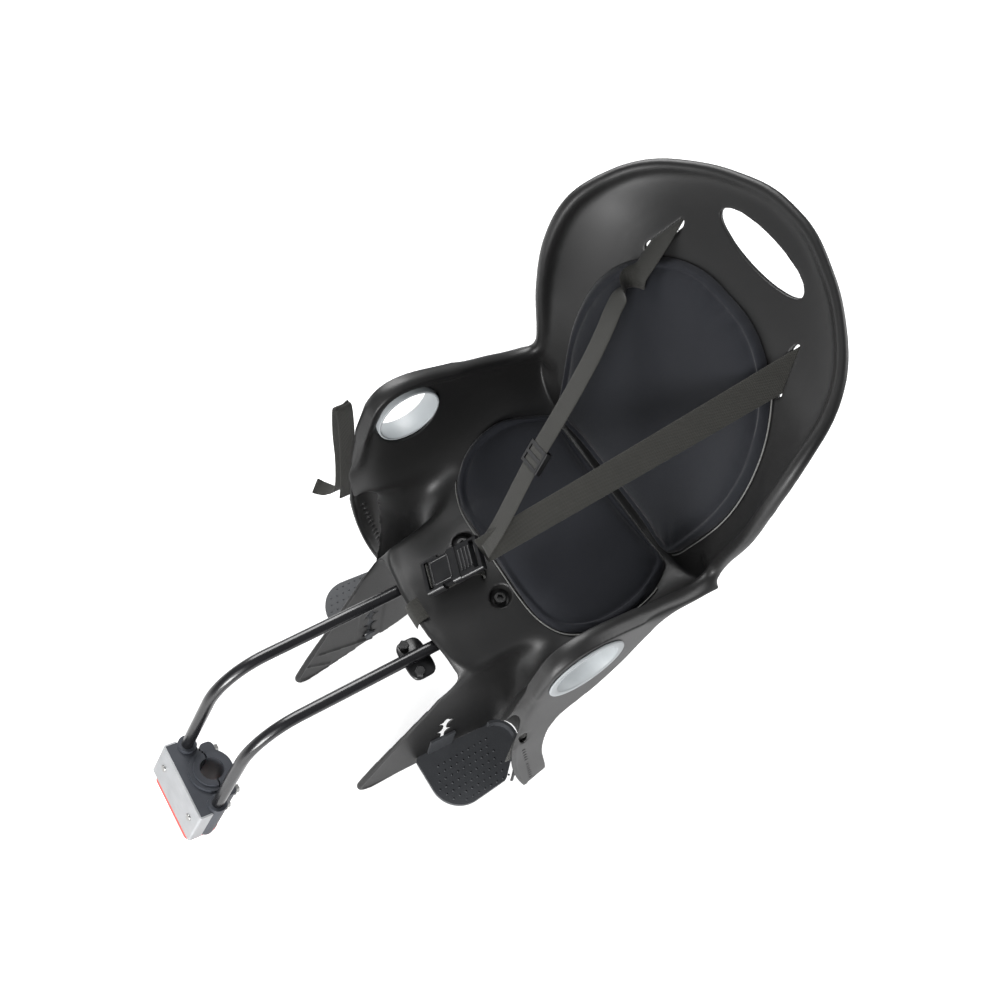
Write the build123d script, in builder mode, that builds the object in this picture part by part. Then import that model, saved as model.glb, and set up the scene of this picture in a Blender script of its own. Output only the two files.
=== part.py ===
"""Rear child seat for a bicycle: a moulded bucket shell on a bent steel bar in a seat tube clamp.

The origin is the middle of the clamp bore. Y runs back, Z up, X to the rider's right. Sizes in millimetres.
"""
import math
import os

from build123d import *

# Seat tube clamp
seat_tube_lean = 20.0
clamp_bore_radius = 14.3
clamp_boss_radius = 26.5
clamp_ring_radius = 21.5
clamp_split = 2.0
block_half_height = 27.5
block_front = 34.6
boss_rise = 4.0
block_corner = 1.2
jaw_corner = 6.0
half_space = 120.0
ring_rise = 7.0
jaw_half_width = 36.0
jaw_depth = 17.0
clamp_bolt_radius = 3.0
clamp_bolt_x = 28.0
clamp_bolt_level = 19.0
clamp_bolt_grip = 24.0
bolt_head_radius = 5.2
bolt_head_height = 5.0
spanner_gap = 2.0
washer_radius = 6.5
washer_thickness = 1.2
bolt_end_gap = 1.0

# Steel front plate and its rivets
plate_thickness = 2.0
plate_flange = 14.0
plate_corner = 3.0
rivet_x = 33.0
rivet_level = 2.0
rivet_radius = 2.5
rivet_head_radius = 4.5
rivet_head_height = 1.6
rivet_round = 1.1
rivet_depth = 9.0

# Carrier bar
bar_radius = 7.0
bar_half_spacing = 40.0
block_side = 7.5
bar_fit = 0.08
bend_radius = 75.0
socket_offset = 11.5
socket_wall = 4.0
socket_rise = 4.5
bar_depth = 22.0
bar_tail = 95.0
latch_level = -13.0
latch_notch = 2.0

# Quick-release latch
latch_thickness = 3.0
latch_depth = 12.2
latch_side = 2.5
latch_travel = 2.5
button_travel = 5.0
button_side = 2.5
button_front = 33.0
button_rear = 8.0
button_height = 11.0
button_gap = 1.0
button_corner = 8.0
button_round = 4.0
yoke_gap = 3.0
stem_half_width = 8.0
stem_front = 28.0
stem_back = 21.5
stem_head = 3.0
stem_room = 14.0
guide_gap = 0.4

# Seat datum: middle of the two bars under the front lip
seat_back = 275.0
seat_up = 171.0

# Moulded shell
wall = 4.0
leg_wall = 3.5
leg_half_gap = 88.0
leg_splay = 3.8
skirt_inside = 181.0
cap_thickness = 7.0
arm_depth = 16.0
handle_half_width = 58.0
handle_half_height = 14.5
handle_level = 447.0
strap_slot_x = 95.0
strap_slot_y = 296.0
strap_slot_level = 387.0
strap_slot_slant = 40.0
slot_gap = 2.0
slot_reach = 48.0
saddle_start = 8.0
saddle_end = 92.0
saddle_wall = 3.0
saddle_drop = 3.0
saddle_height = 60.0
screw_y = 78.0
screw_floor = 39.0
recess_radius = 12.0
boss_wall = 3.5
screw_radius = 4.0
screw_head_radius = 6.5
screw_head_height = 5.0
screw_hex_depth = 3.0
screw_nut_radius = 7.3
screw_tail = 2.0
screw_fit = 0.1
crotch_slot_y = 77.0
crotch_gap = 0.7
crotch_level = 62.0
crotch_bends = [(0, -26), (0, -5), (5, -1)]
crotch_loop = 5.0
band_slot_y = 21.0
band_slot_level = 9.0
band_slot_length = 34.0
band_slot_width = 5.0
band_hole_radius = 2.0
band_hole_pitch = 13.0
band_hole_count = 13
band_hole_y = 31.0
band_hole_level = -38.0
band_hole_slope = 0.28
band_slot_turn = 105.0

# Grip rings in the arms
ring_y = 68.0
ring_level = 147.0
ring_radius = 36.0
ring_wall = 3.0
ring_flange = 6.0
ring_flange_thickness = 2.5
ring_inside = 162.0
ring_fit = 0.3
ring_cut_margin = 10.0

# Footrests on the leg shields
foot_level = -211.0
foot_thickness = 6.0
foot_gap = 0.5
foot_front = -37.0
foot_rear = 91.0
foot_outside = 176.0
foot_taper = 6.0
foot_waist = 50.0
foot_heel_x = 131.0
foot_rounds = (6.0, 38.0, 8.0, 10.0, 26.0)
heel_rim = 12.0
heel_rim_wall = 4.0
heel_rim_start = 66.0
carriage_height = 46.0
carriage_width = 34.0
carriage_wall = 3.0
star_u = -2.0
star_count = 4
star_pitch = 27.0
star_low = -205.0
star_tip = 8.0
star_waist = 3.2
neck_width = 3.4
tongue_height = 12.0
tongue_button_radius = 7.5
tongue_button_thickness = 3.0

# Webbing and buckle
webbing = 30.0
webbing_thickness = 1.6
foot_webbing = 20.0
buckle_low = (-19.0, 17.0, 42.0)
buckle_high = (0.0, 70.0, 93.0)
buckle_width = 42.0
buckle_thickness = 13.0
socket_length = 46.0
tongue_gap = 1.0
buckle_wall = 2.5
buckle_fit = 0.3
buckle_corner = 4.0
prong_width = 6.0
prong_window = 14.0
prong_window_y = 28.5
prong_window_corner = 3.0
tongue_thickness = 10.0
tongue_corner = 3.0
slider_share = 0.29
slider_length = 26.0
slider_bar = 4.0
slider_thickness = 8.0
slider_corner = 2.0
slider_window = 28.0
keeper_behind = 52.0
keeper_thickness = 3.0
keeper_height = 10.0
keeper_corner = 3.0
fitting_rim = 4.0
strap_tail = 3.0
strap_join = 63.0
strap_bar = 4.0
strap_window = 6.0
foot_strap_y = 8.0
foot_strap_bends = [(0, -8), (0, 40), (9, 158), (15, 158), (13, 34), (30, 24)]
foot_strap_round = 2.8
hang_y = 24.0
hang_top = 40.0
hang_end = -66.0

# Pads
pad_gap = 0.6
seat_pad_thickness = 13.0
seat_pad_reach = 150.0
seat_pad_outline = [(112, 237), (128, 207), (135, 172), (128, 136), (102, 110), (60, 95), (0, 88)]
back_pad_thickness = 14.0
back_pad_behind = 320.0
back_pad_reach = 110.0
back_pad_outline = [
    (100, 122), (120, 155), (133, 210), (135, 262), (125, 306), (88, 353), (50, 385), (0, 398),
]

# Bar clamp under the pan
clamp_plate_thickness = 6.0
clamp_plate_side = 28.0
clamp_window = 40.0
clamp_window_width = 16.0
clamp_plate_start = 12.0
clamp_plate_corner = 10.0
clamp_plate_chamfer = 1.5
under_bolt_y = 32.0
under_bolt_inset = 17.5
under_bolt_depth = 12.0
pilot_spare = 2.0
under_bolt_radius = 3.0
under_boss_radius = 6.5

lean = math.radians(seat_tube_lean)
bracket_axis = Axis((0, 0, 0), (0, math.sin(lean), math.cos(lean)))
bar_end_level = -bar_depth
socket_radius = bar_radius + bar_fit
collar_radius = socket_radius + socket_wall
block_half_width = bar_half_spacing + block_side
latch_half_width = block_half_width - latch_side
button_half_width = block_half_width - button_side
clamp_plate_half_width = bar_half_spacing + clamp_plate_side
under_bolt_x = (bar_half_spacing - under_bolt_inset, bar_half_spacing + under_bolt_inset)
bar_spots = [(bar_half_spacing, -socket_offset), (-bar_half_spacing, -socket_offset)]
screw_spots = [(bar_half_spacing, screw_y), (-bar_half_spacing, screw_y)]
under_bolt_spots = [(side * x, under_bolt_y) for side in (1, -1) for x in under_bolt_x]
clamp_bolt_spots = [(i * clamp_bolt_x, j * clamp_bolt_level) for i in (1, -1) for j in (1, -1)]
rivet_spots = [(rivet_x, rivet_level), (-rivet_x, rivet_level)]
skirt_outside = skirt_inside + wall


def bracket_level(a):
    """Plane square to the seat tube at height a: local x across, local y to the rear."""
    axis = (0, math.sin(lean), math.cos(lean))
    return Plane(origin=(0, a * axis[1], a * axis[2]), x_dir=(1, 0, 0), z_dir=axis)


def bracket_side(x):
    """Plane square to X: local x to the rear, local y up the seat tube."""
    return Plane(origin=(x, 0, 0), x_dir=(0, math.cos(lean), -math.sin(lean)), z_dir=(1, 0, 0))


def bracket_face(v):
    """Plane facing the front at depth v behind the tube axis: local x across, local y up the seat tube."""
    forward = (0, -math.cos(lean), math.sin(lean))
    return Plane(origin=(0, -v * forward[1], -v * forward[2]), x_dir=(1, 0, 0), z_dir=forward)


def seat_side(x):
    return Plane(origin=(x, seat_back, seat_up), x_dir=(0, 1, 0), z_dir=(1, 0, 0))


def seat_cross(y):
    return Plane(origin=(0, seat_back + y, seat_up), x_dir=(1, 0, 0), z_dir=(0, -1, 0))


def seat_level(z):
    return Plane(origin=(0, seat_back, seat_up + z))


def in_seat(point):
    return Vector(*point) + Vector(0, seat_back, seat_up)


def mirrored(points):
    """A half outline that ends on the middle, carried on to the other side."""
    return points + [(-x, y) for x, y in points[-2::-1]]


def wall_face(plane, points, closing):
    """Face between a smooth wall curve and the straight run that closes it."""
    with BuildSketch(plane) as face:
        with BuildLine():
            Spline(points)
            Polyline(points[-1], *closing, points[0])
        make_face()
    return face.sketch


# Pan stations: distance back, hump in the middle, thigh channel, half width, top of the side
pan_stations = [
    (-6, 14, 4, 166, 70),
    (25, 29, 15, 168, 150),
    (65, 48, 28, 168, 190),
    (115, 66, 46, 168, 182),
    (175, 82, 72, 167, 168),
    (235, 97, 95, 166, 156),
    (262, 104, 103, 165, 152),
]
# Back stations: height, floor of the back, half width, rim of the wing
back_stations = [
    (90, 253, 112, 238),
    (120, 258, 146, 238),
    (150, 263, 163, 240),
    (200, 271, 168, 241),
    (260, 281, 181, 234),
    (330, 292, 184, 228),
    (386, 302, 180, 241),
    (424, 314, 164, 275),
    (450, 322.5, 137, 299),
    (472, 329, 92, 322),
    (486, 333.5, 50, 331),
    (494, 336, 16, 335),
]
back_shares = (1.0, 0.93, 0.82, 0.62, 0.32, 0.0)
back_curl = 3.6
room_height = 12.0
room_front = 200.0


def pan_face(station, skin, rise):
    """Slice across the pan, its wall curve moved out by skin and closed rise above the sides."""
    y, hump, channel, width, top = station
    side = top - channel
    half = [
        (width + skin, top),
        (0.93 * width + skin, channel + 0.38 * side - 0.3 * skin),
        (0.80 * width + 0.4 * skin, channel + 0.10 * side - 0.8 * skin),
        (0.55 * width, channel - skin),
        (0.25 * width, 0.75 * hump + 0.25 * channel - skin),
        (0, hump - skin),
    ]
    closing = [(-width - skin, top + rise), (width + skin, top + rise)] if rise else []
    return wall_face(seat_cross(y), mirrored(half), closing)


def back_face(station, skin, front):
    """Level slice of the back: flat in the middle, curling into the wings by a power of the width."""
    z, floor, width, rim = station
    depth = floor - rim + skin
    half = [((width + skin) * k, floor + skin - depth * k**back_curl) for k in back_shares]
    closing = [(-width - skin, front), (width + skin, front)] if front else []
    return wall_face(seat_level(z), mirrored(half), closing)


def stretched(stations, first, last):
    """The stations with the two end ones moved, so that a hollow runs out of its walls."""
    start = (stations[0][0] + first,) + stations[0][1:]
    end = (stations[-1][0] + last,) + stations[-1][1:]
    return [start] + stations[1:-1] + [end]


def pan_room(gap):
    with BuildPart() as room:
        loft([pan_face(s, -gap, room_height) for s in stretched(pan_stations, -14, -10)])
    return room.part


def back_room(gap):
    with BuildPart() as room:
        loft([back_face(s, -gap, room_front) for s in stretched(back_stations, 11, 8)])
    return room.part


# Arm and leg outlines, seen from the side
arm_top = [
    (245, 160), (205, 168), (161, 179), (121, 187), (88, 195), (61, 198), (40, 193), (26, 180), (19, 160),
]
arm_front = [(19, 160), (12, 125), (6, 73), (8, 12), (21, -66), (41, -142), (71, -225)]
band_rear = [
    (98, -194), (73, -106), (60, -33), (66, 18), (89, 41), (119, 75), (136, 105), (150, 137), (200, 162),
]
arm_inner = [(44, 186), (33, 177), (26, 158)]
shield_front = [(-6, 5), (-62, -116), (-112, -212)]
shield_tip = (-112, -228)
shield_foot = [(-96, -236), (0, -229), (120, -204)]
shield_rear = [(150, 60), (-6, 60)]
lip_inner = [(11, 73), (18, 125), (26, 158)]
leg_splay_angle = math.radians(leg_splay)
leg_plane = Plane(
    origin=(leg_half_gap, seat_back, seat_up),
    x_dir=(math.sin(leg_splay_angle), math.cos(leg_splay_angle), 0),
    z_dir=(math.cos(leg_splay_angle), -math.sin(leg_splay_angle), 0),
)
left_leg_plane = Plane(
    origin=(-leg_half_gap, seat_back, seat_up),
    x_dir=(-math.sin(leg_splay_angle), math.cos(leg_splay_angle), 0),
    z_dir=(math.cos(leg_splay_angle), math.sin(leg_splay_angle), 0),
)


def star_outline():
    """Four-pointed star, tips up, down, fore and aft."""
    corners = []
    for step in range(8):
        reach = star_tip if step % 2 == 0 else star_waist
        turn = math.radians(45 * step)
        corners.append((reach * math.cos(turn), reach * math.sin(turn)))
    return corners


# Leg troughs: level, then the inner-rear corner, floor and outer edge of the hollow behind the calf
trough_levels = [
    (56, 106, 124, 148, 12),
    (38, 82, 100, 152, 20),
    (16, 68, 86, 159, 32),
    (-14, 63, 82, 166, 42),
    (-60, 66, 89, 170, 50),
    (-95, 71, 95, 171, 54),
    (-130, 74, 98, 172, 57),
    (-170, 74, 98, 172, 57),
    (-215, 74, 98, 172, 57),
    (-260, 74, 98, 172, 57),
]
trough_front = -130.0
trough_inner = 109.0
trough_floor_end = 124.0


def leg_x(y):
    """Outer face of the leg shield, which splays out towards the rear."""
    return leg_half_gap + leg_wall + y * math.tan(leg_splay_angle)


def pushed_out(points, skin):
    """The curve moved to its outer side, square to the run at each point."""
    moved = []
    for index, (x, y) in enumerate(points):
        before = points[max(index - 1, 0)]
        after = points[min(index + 1, len(points) - 1)]
        run = math.hypot(after[0] - before[0], after[1] - before[1])
        moved.append((x - skin * (after[1] - before[1]) / run, y + skin * (after[0] - before[0]) / run))
    return moved


def trough_face(level, skin, front):
    """Level slice of the trough: shield side, round corner, calf side and outer edge."""
    z, corner, floor, edge_x, edge_y = level
    points = [
        (leg_x(trough_front), trough_front),
        (leg_x(trough_front / 2), trough_front / 2),
        (leg_x(0), 0),
        (leg_x(corner - 24), corner - 24),
        (leg_x(corner) + 1.5, corner),
        (trough_inner - 6, floor - 6),
        (0.5 * (trough_inner + trough_floor_end), floor),
        (0.5 * (trough_floor_end + edge_x) + 2, 0.55 * floor + 0.45 * edge_y),
        (edge_x, edge_y),
    ]
    points = pushed_out(points, skin)
    closing = [(points[-1][0], front), (points[0][0], front)] if front else []
    return wall_face(seat_level(z), points, closing)


def trough_room():
    with BuildPart() as room:
        loft([trough_face(level, 0, 2 * trough_front) for level in trough_levels])
    return room.part


# Leg trough of one side, cut to its outline as seen from the side
with BuildPart() as trough:
    loft([trough_face(level, leg_wall, 0) for level in trough_levels])
    with BuildSketch(seat_side(0)):
        with BuildLine():
            Spline(shield_front)
            ThreePointArc(shield_front[-1], shield_tip, shield_foot[0])
            Spline(shield_foot)
            Polyline(shield_foot[-1], *shield_rear, shield_front[0])
        make_face()
    extrude(amount=skirt_inside, mode=Mode.INTERSECT)

# Outer skirt and band of one side, with the cap that joins it to the arm
with BuildPart() as arm:
    with BuildSketch(seat_side(skirt_inside)):
        with BuildLine():
            Spline(arm_top[1:])
            Spline(arm_front)
            Line(arm_front[-1], band_rear[0])
            Spline(band_rear)
            Line(band_rear[-1], arm_top[1])
        make_face()
    extrude(amount=wall)
    under = [(y, z - cap_thickness) for y, z in arm_top[:6]] + arm_inner
    with BuildSketch(seat_side(skirt_inside - arm_depth)):
        with BuildLine():
            Spline(arm_top)
            Line(arm_top[-1], under[-1])
            Spline(under)
            Line(under[0], arm_top[0])
        make_face()
    extrude(amount=arm_depth + wall)
    with BuildSketch(seat_side(skirt_inside - arm_depth)):
        with BuildLine():
            Spline(arm_front[:3])
            Polyline(arm_front[2], *lip_inner, arm_front[0])
        make_face()
    extrude(amount=arm_depth + wall)

# Bar saddle of one side: two walls and a web over the bar, with bosses for the bolts
with BuildPart() as saddle:
    half_saddle = socket_radius + guide_gap + saddle_wall
    with BuildSketch(seat_cross(saddle_end)):
        with Locations((bar_half_spacing, saddle_height / 2)):
            Rectangle(2 * half_saddle, saddle_height + 2 * saddle_drop)
            Rectangle(2 * (half_saddle - saddle_wall), saddle_height + 2 * saddle_drop, mode=Mode.SUBTRACT)
        with Locations((bar_half_spacing, bar_radius + guide_gap + saddle_wall / 2)):
            Rectangle(2 * half_saddle, saddle_wall)
    extrude(amount=saddle_end - saddle_start)
    with BuildSketch(seat_level(bar_radius + guide_gap)):
        with Locations((bar_half_spacing, screw_y)):
            Circle(recess_radius + boss_wall)
    extrude(amount=saddle_height)
    with BuildSketch(seat_level(-bar_radius)):
        with Locations([(x, under_bolt_y) for x in under_bolt_x]):
            Circle(under_boss_radius)
    extrude(amount=saddle_height)

# Straps run straight from the slot in the back to the buckle
buckle_point = in_seat(buckle_high)
slot_point = in_seat((strap_slot_x, strap_slot_y, strap_slot_level))
strap_run = (slot_point - buckle_point).normalized()
slant = math.radians(strap_slot_slant)
strap_across = Vector(math.cos(slant), 0, -math.sin(slant))
strap_across = (strap_across - strap_run * strap_across.dot(strap_run)).normalized()
strap_length = (slot_point - buckle_point).length


def strap_section(distance):
    """Plane square to the right strap at a distance from the buckle, local x across the webbing."""
    return Plane(origin=buckle_point + strap_run * distance, x_dir=strap_across, z_dir=strap_run)


# Crotch strap: up through a slot in the pan and forward to the buckle
crotch_start = in_seat((0, crotch_slot_y, crotch_level))
crotch_end = in_seat(buckle_low)
crotch_run = Vector(crotch_end.X - crotch_start.X, crotch_end.Y - crotch_start.Y, 0).normalized()
crotch_plane = Plane(origin=crotch_start, x_dir=crotch_run, z_dir=crotch_run.cross(Vector(0, 0, 1)))
crotch_turn = math.degrees(math.atan2(crotch_run.X, -crotch_run.Y))

# Moulded shell
pan_hollow = pan_room(0)
back_hollow = back_room(0)
leg_hollow = trough_room()
with BuildPart() as shell:
    loft([pan_face(s, wall, 0) for s in pan_stations])
    loft([back_face(s, wall, 0) for s in back_stations])
    add(saddle.part)
    mirror(saddle.part, about=Plane.YZ)
    add(trough.part)
    mirror(trough.part, about=Plane.YZ)
    add(pan_hollow, mode=Mode.SUBTRACT)
    add(back_hollow, mode=Mode.SUBTRACT)
    add(leg_hollow, mode=Mode.SUBTRACT)
    mirror(leg_hollow, about=Plane.YZ, mode=Mode.SUBTRACT)
    add(arm.part)
    mirror(arm.part, about=Plane.YZ)
    # handle hole in the head
    with BuildSketch(seat_cross(room_front)):
        with Locations((0, handle_level)):
            Ellipse(handle_half_width, handle_half_height)
    extrude(amount=-room_front, mode=Mode.SUBTRACT)
    # shoulder strap slots
    for side in (1, -1):
        across = Vector(side * strap_across.X, strap_across.Y, strap_across.Z)
        run = Vector(side * strap_run.X, strap_run.Y, strap_run.Z)
        centre = Vector(side * slot_point.X, slot_point.Y, slot_point.Z)
        with BuildSketch(Plane(origin=centre, x_dir=across, z_dir=run)):
            RectangleRounded(webbing + 2 * slot_gap, webbing_thickness + 2 * slot_gap, slot_gap)
        extrude(amount=slot_reach, both=True, mode=Mode.SUBTRACT)
    # grip ring holes in the arms
    for side in (1, -1):
        with BuildSketch(seat_side(side * (ring_inside - ring_cut_margin))):
            with Locations((ring_y, ring_level)):
                Circle(ring_radius + ring_wall + ring_fit)
        extrude(amount=side * (skirt_outside - ring_inside + 2 * ring_cut_margin), mode=Mode.SUBTRACT)
    # rows of star holes in the leg shields, joined by a narrow neck for the footrest tongues
    star_levels = [star_low + star_pitch * step for step in range(star_count)]
    for plane in (leg_plane, left_leg_plane):
        with BuildSketch(plane):
            with Locations([(star_u, level) for level in star_levels]):
                Polygon(*star_outline(), align=None)
            with Locations((star_u, (star_levels[0] + star_levels[-1]) / 2)):
                Rectangle(neck_width, star_levels[-1] - star_levels[0] + tongue_height + 2 * guide_gap)
        extrude(amount=2 * leg_wall, both=True, mode=Mode.SUBTRACT)
    # foot strap slot and the row of adjusting holes in each outer band
    hole_drops = [band_hole_pitch * step for step in range(band_hole_count)]
    band_holes = [(band_hole_y + band_hole_slope * drop, band_hole_level - drop) for drop in hole_drops]
    for side in (1, -1):
        with BuildSketch(seat_side(side * (skirt_inside - slot_gap))):
            with Locations((band_slot_y, band_slot_level)):
                SlotOverall(band_slot_length, band_slot_width, rotation=band_slot_turn)
            with Locations(band_holes):
                Circle(band_hole_radius)
        extrude(amount=side * (wall + 2 * slot_gap), mode=Mode.SUBTRACT)
    # crotch strap slot
    with BuildSketch(seat_level(0)):
        with Locations((0, crotch_slot_y)):
            Rectangle(webbing + 2 * crotch_gap, webbing_thickness + 2 * crotch_gap, rotation=crotch_turn)
    extrude(amount=2 * crotch_level, mode=Mode.SUBTRACT)
    # screw recesses with their through holes, and pilot holes for the clamp bolts
    with BuildSketch(seat_level(screw_floor)):
        with Locations(screw_spots):
            Circle(recess_radius)
    extrude(amount=saddle_height, mode=Mode.SUBTRACT)
    with BuildSketch(seat_level(0)):
        with Locations(screw_spots):
            Circle(screw_radius + screw_fit)
    extrude(amount=screw_floor, mode=Mode.SUBTRACT)
    with BuildSketch(seat_level(-bar_radius)):
        with Locations(under_bolt_spots):
            Circle(under_bolt_radius + screw_fit)
    extrude(amount=under_bolt_depth + pilot_spare, mode=Mode.SUBTRACT)

# Pads: lie on the shell at a small gap, the same thickness all over
seat_pad_bed = pan_room(pad_gap)
back_pad_bed = back_room(pad_gap)
with BuildPart() as seat_pad:
    with BuildSketch(seat_level(0)):
        with BuildLine():
            Spline(mirrored(seat_pad_outline))
            Line((-seat_pad_outline[0][0], seat_pad_outline[0][1]), seat_pad_outline[0])
        make_face()
    extrude(amount=seat_pad_reach)
    add(seat_pad_bed, mode=Mode.INTERSECT)
    add(seat_pad_bed.moved(Location((0, 0, seat_pad_thickness))), mode=Mode.SUBTRACT)

with BuildPart() as back_pad:
    with BuildSketch(seat_cross(back_pad_behind)):
        with BuildLine():
            Spline(mirrored(back_pad_outline))
            Line((-back_pad_outline[0][0], back_pad_outline[0][1]), back_pad_outline[0])
        make_face()
    extrude(amount=back_pad_reach)
    add(back_pad_bed, mode=Mode.INTERSECT)
    add(back_pad_bed.moved(Location((0, -back_pad_thickness, 0))), mode=Mode.SUBTRACT)

# Grip ring: a sleeve through the arm with a flange on the outside
with BuildPart() as grip_ring_right:
    with BuildSketch(seat_side(ring_inside)):
        with Locations((ring_y, ring_level)):
            Circle(ring_radius + ring_wall)
    extrude(amount=skirt_outside + ring_flange_thickness - ring_inside)
    with BuildSketch(seat_side(skirt_outside)):
        with Locations((ring_y, ring_level)):
            Circle(ring_radius + ring_wall + ring_flange)
    extrude(amount=ring_flange_thickness)
    fillet(faces().sort_by(Axis.X)[-1].edges(), ring_flange_thickness / 2)
    with BuildSketch(seat_side(ring_inside)):
        with Locations((ring_y, ring_level)):
            Circle(ring_radius)
    extrude(amount=skirt_outside + ring_flange_thickness - ring_inside, mode=Mode.SUBTRACT)

with BuildPart() as grip_ring_left:
    mirror(grip_ring_right.part, about=Plane.YZ)

# Footrest: platform with a heel rim, a carriage along the shield and a tongue through the star row
tongue_level = star_low
carriage_plane = leg_plane.offset(leg_wall + foot_gap)
with BuildPart() as footrest_right:
    foot_corners = [
        (leg_x(foot_front) + foot_gap, foot_front),
        (foot_outside, foot_front),
        (foot_outside - foot_taper, foot_waist),
        (foot_heel_x, foot_rear),
        (leg_x(foot_rear) + 3 * foot_gap, foot_rear),
    ]
    with BuildSketch(seat_level(foot_level)):
        with BuildLine():
            Polyline(*foot_corners, close=True)
        make_face()
        for corner, radius in zip(foot_corners, foot_rounds):
            fillet(vertices().sort_by_distance(Vector(*corner))[0], radius)
    extrude(amount=foot_thickness)
    with BuildSketch(seat_level(foot_level + foot_thickness)):
        with BuildLine():
            Polyline(*foot_corners, close=True)
        make_face()
        for corner, radius in zip(foot_corners, foot_rounds):
            fillet(vertices().sort_by_distance(Vector(*corner))[0], radius)
        offset(amount=-heel_rim_wall, mode=Mode.SUBTRACT)
        with Locations((foot_corners[0][0], heel_rim_start)):
            Rectangle(
                3 * foot_outside,
                3 * foot_outside,
                align=(Align.CENTER, Align.MAX),
                mode=Mode.SUBTRACT,
            )
    extrude(amount=heel_rim)
    with BuildSketch(carriage_plane):
        with Locations((star_u, foot_level + carriage_height / 2)):
            Rectangle(carriage_width, carriage_height)
    extrude(amount=carriage_wall)
    with BuildSketch(carriage_plane):
        with Locations((star_u, tongue_level)):
            Rectangle(neck_width - 2 * guide_gap, tongue_height)
    extrude(amount=-(leg_wall + 2 * foot_gap))
    with BuildSketch(leg_plane.offset(-foot_gap)):
        with Locations((star_u, tongue_level)):
            Circle(tongue_button_radius)
    extrude(amount=-tongue_button_thickness)

with BuildPart() as footrest_left:
    mirror(footrest_right.part, about=Plane.YZ)

# Carrier bar: one steel rod, bent into two prongs, with latch notches near its ends
rise = math.cos(lean)
run = math.sin(lean)
prong_foot = Vector(0, -socket_offset * rise, socket_offset * run)
corner_y = prong_foot.Y + (seat_up - prong_foot.Z) * run / rise
bend_reach = bend_radius * math.tan((math.pi / 2 - lean) / 2)
bar_points = [
    prong_foot + Vector(0, run, rise) * bar_end_level,
    Vector(0, corner_y, seat_up) - Vector(0, run, rise) * bend_reach,
    Vector(0, corner_y + bend_reach, seat_up),
    Vector(0, seat_back + bar_tail, seat_up),
]
to_right = Vector(bar_half_spacing, 0, 0)
with BuildPart() as carrier_bar:
    with BuildLine() as bar_path:
        Line(bar_points[0] + to_right, bar_points[1] + to_right)
        TangentArc(bar_points[1] + to_right, bar_points[2] + to_right, tangent=(0, run, rise))
        Line(bar_points[2] + to_right, bar_points[3] + to_right)
        ThreePointArc(
            bar_points[3] + to_right,
            bar_points[3] + Vector(0, bar_half_spacing, 0),
            bar_points[3] - to_right,
        )
        Line(bar_points[3] - to_right, bar_points[2] - to_right)
        TangentArc(bar_points[2] - to_right, bar_points[1] - to_right, tangent=(0, -1, 0))
        Line(bar_points[1] - to_right, bar_points[0] - to_right)
    with BuildSketch(Plane(origin=bar_points[0] + to_right, x_dir=(1, 0, 0), z_dir=(0, run, rise))):
        Circle(bar_radius)
    sweep(path=bar_path.line)
    with BuildSketch(bracket_level(latch_level - latch_thickness / 2 - guide_gap)):
        with Locations([(x, y - bar_radius) for x, y in bar_spots]):
            Rectangle(3 * bar_radius, 2 * latch_notch)
    extrude(amount=latch_thickness + 2 * guide_gap, mode=Mode.SUBTRACT)
    with BuildSketch(seat_level(-2 * bar_radius)):
        with Locations(screw_spots):
            Circle(screw_radius + screw_fit)
    extrude(amount=4 * bar_radius, mode=Mode.SUBTRACT)

# Bar clamp: a plate under the bars, drawn up by four bolts and the two seat screws
clamp_top = -bar_radius - guide_gap / 4
with BuildPart() as bar_clamp:
    with BuildSketch(seat_level(clamp_top)):
        clamp_middle = (clamp_plate_start + saddle_end) / 2
        with Locations((0, clamp_middle)):
            RectangleRounded(2 * clamp_plate_half_width, saddle_end - clamp_plate_start, clamp_plate_corner)
            RectangleRounded(clamp_window_width, clamp_window, clamp_window_width / 2.5, mode=Mode.SUBTRACT)
        with Locations(under_bolt_spots):
            Circle(under_bolt_radius + screw_fit, mode=Mode.SUBTRACT)
        with Locations(screw_spots):
            Circle(screw_radius + screw_fit, mode=Mode.SUBTRACT)
    extrude(amount=-clamp_plate_thickness)
    chamfer(faces().sort_by(Axis.Z)[0].outer_wire().edges(), clamp_plate_chamfer)

clamp_under = clamp_top - clamp_plate_thickness
with BuildPart() as bar_clamp_bolts:
    with BuildSketch(seat_level(clamp_under)):
        with Locations(under_bolt_spots):
            Circle(under_bolt_radius)
    extrude(amount=clamp_plate_thickness + under_bolt_depth)
    with BuildSketch(seat_level(clamp_under)):
        with Locations(under_bolt_spots):
            RegularPolygon(bolt_head_radius, 6)
    extrude(amount=-bolt_head_height)

with BuildPart() as seat_screws:
    with BuildSketch(seat_level(clamp_under - screw_tail)):
        with Locations(screw_spots):
            Circle(screw_radius)
    extrude(amount=screw_floor - clamp_under + screw_tail)
    with BuildSketch(seat_level(screw_floor)):
        with Locations(screw_spots):
            Circle(screw_head_radius)
    extrude(amount=screw_head_height)
    with BuildSketch(seat_level(screw_floor + screw_head_height)):
        with Locations(screw_spots):
            RegularPolygon(screw_radius, 6)
    extrude(amount=-screw_hex_depth, mode=Mode.SUBTRACT)
    with BuildSketch(seat_level(clamp_under)):
        with Locations(screw_spots):
            RegularPolygon(screw_nut_radius, 6)
    extrude(amount=-screw_head_height)

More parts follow.
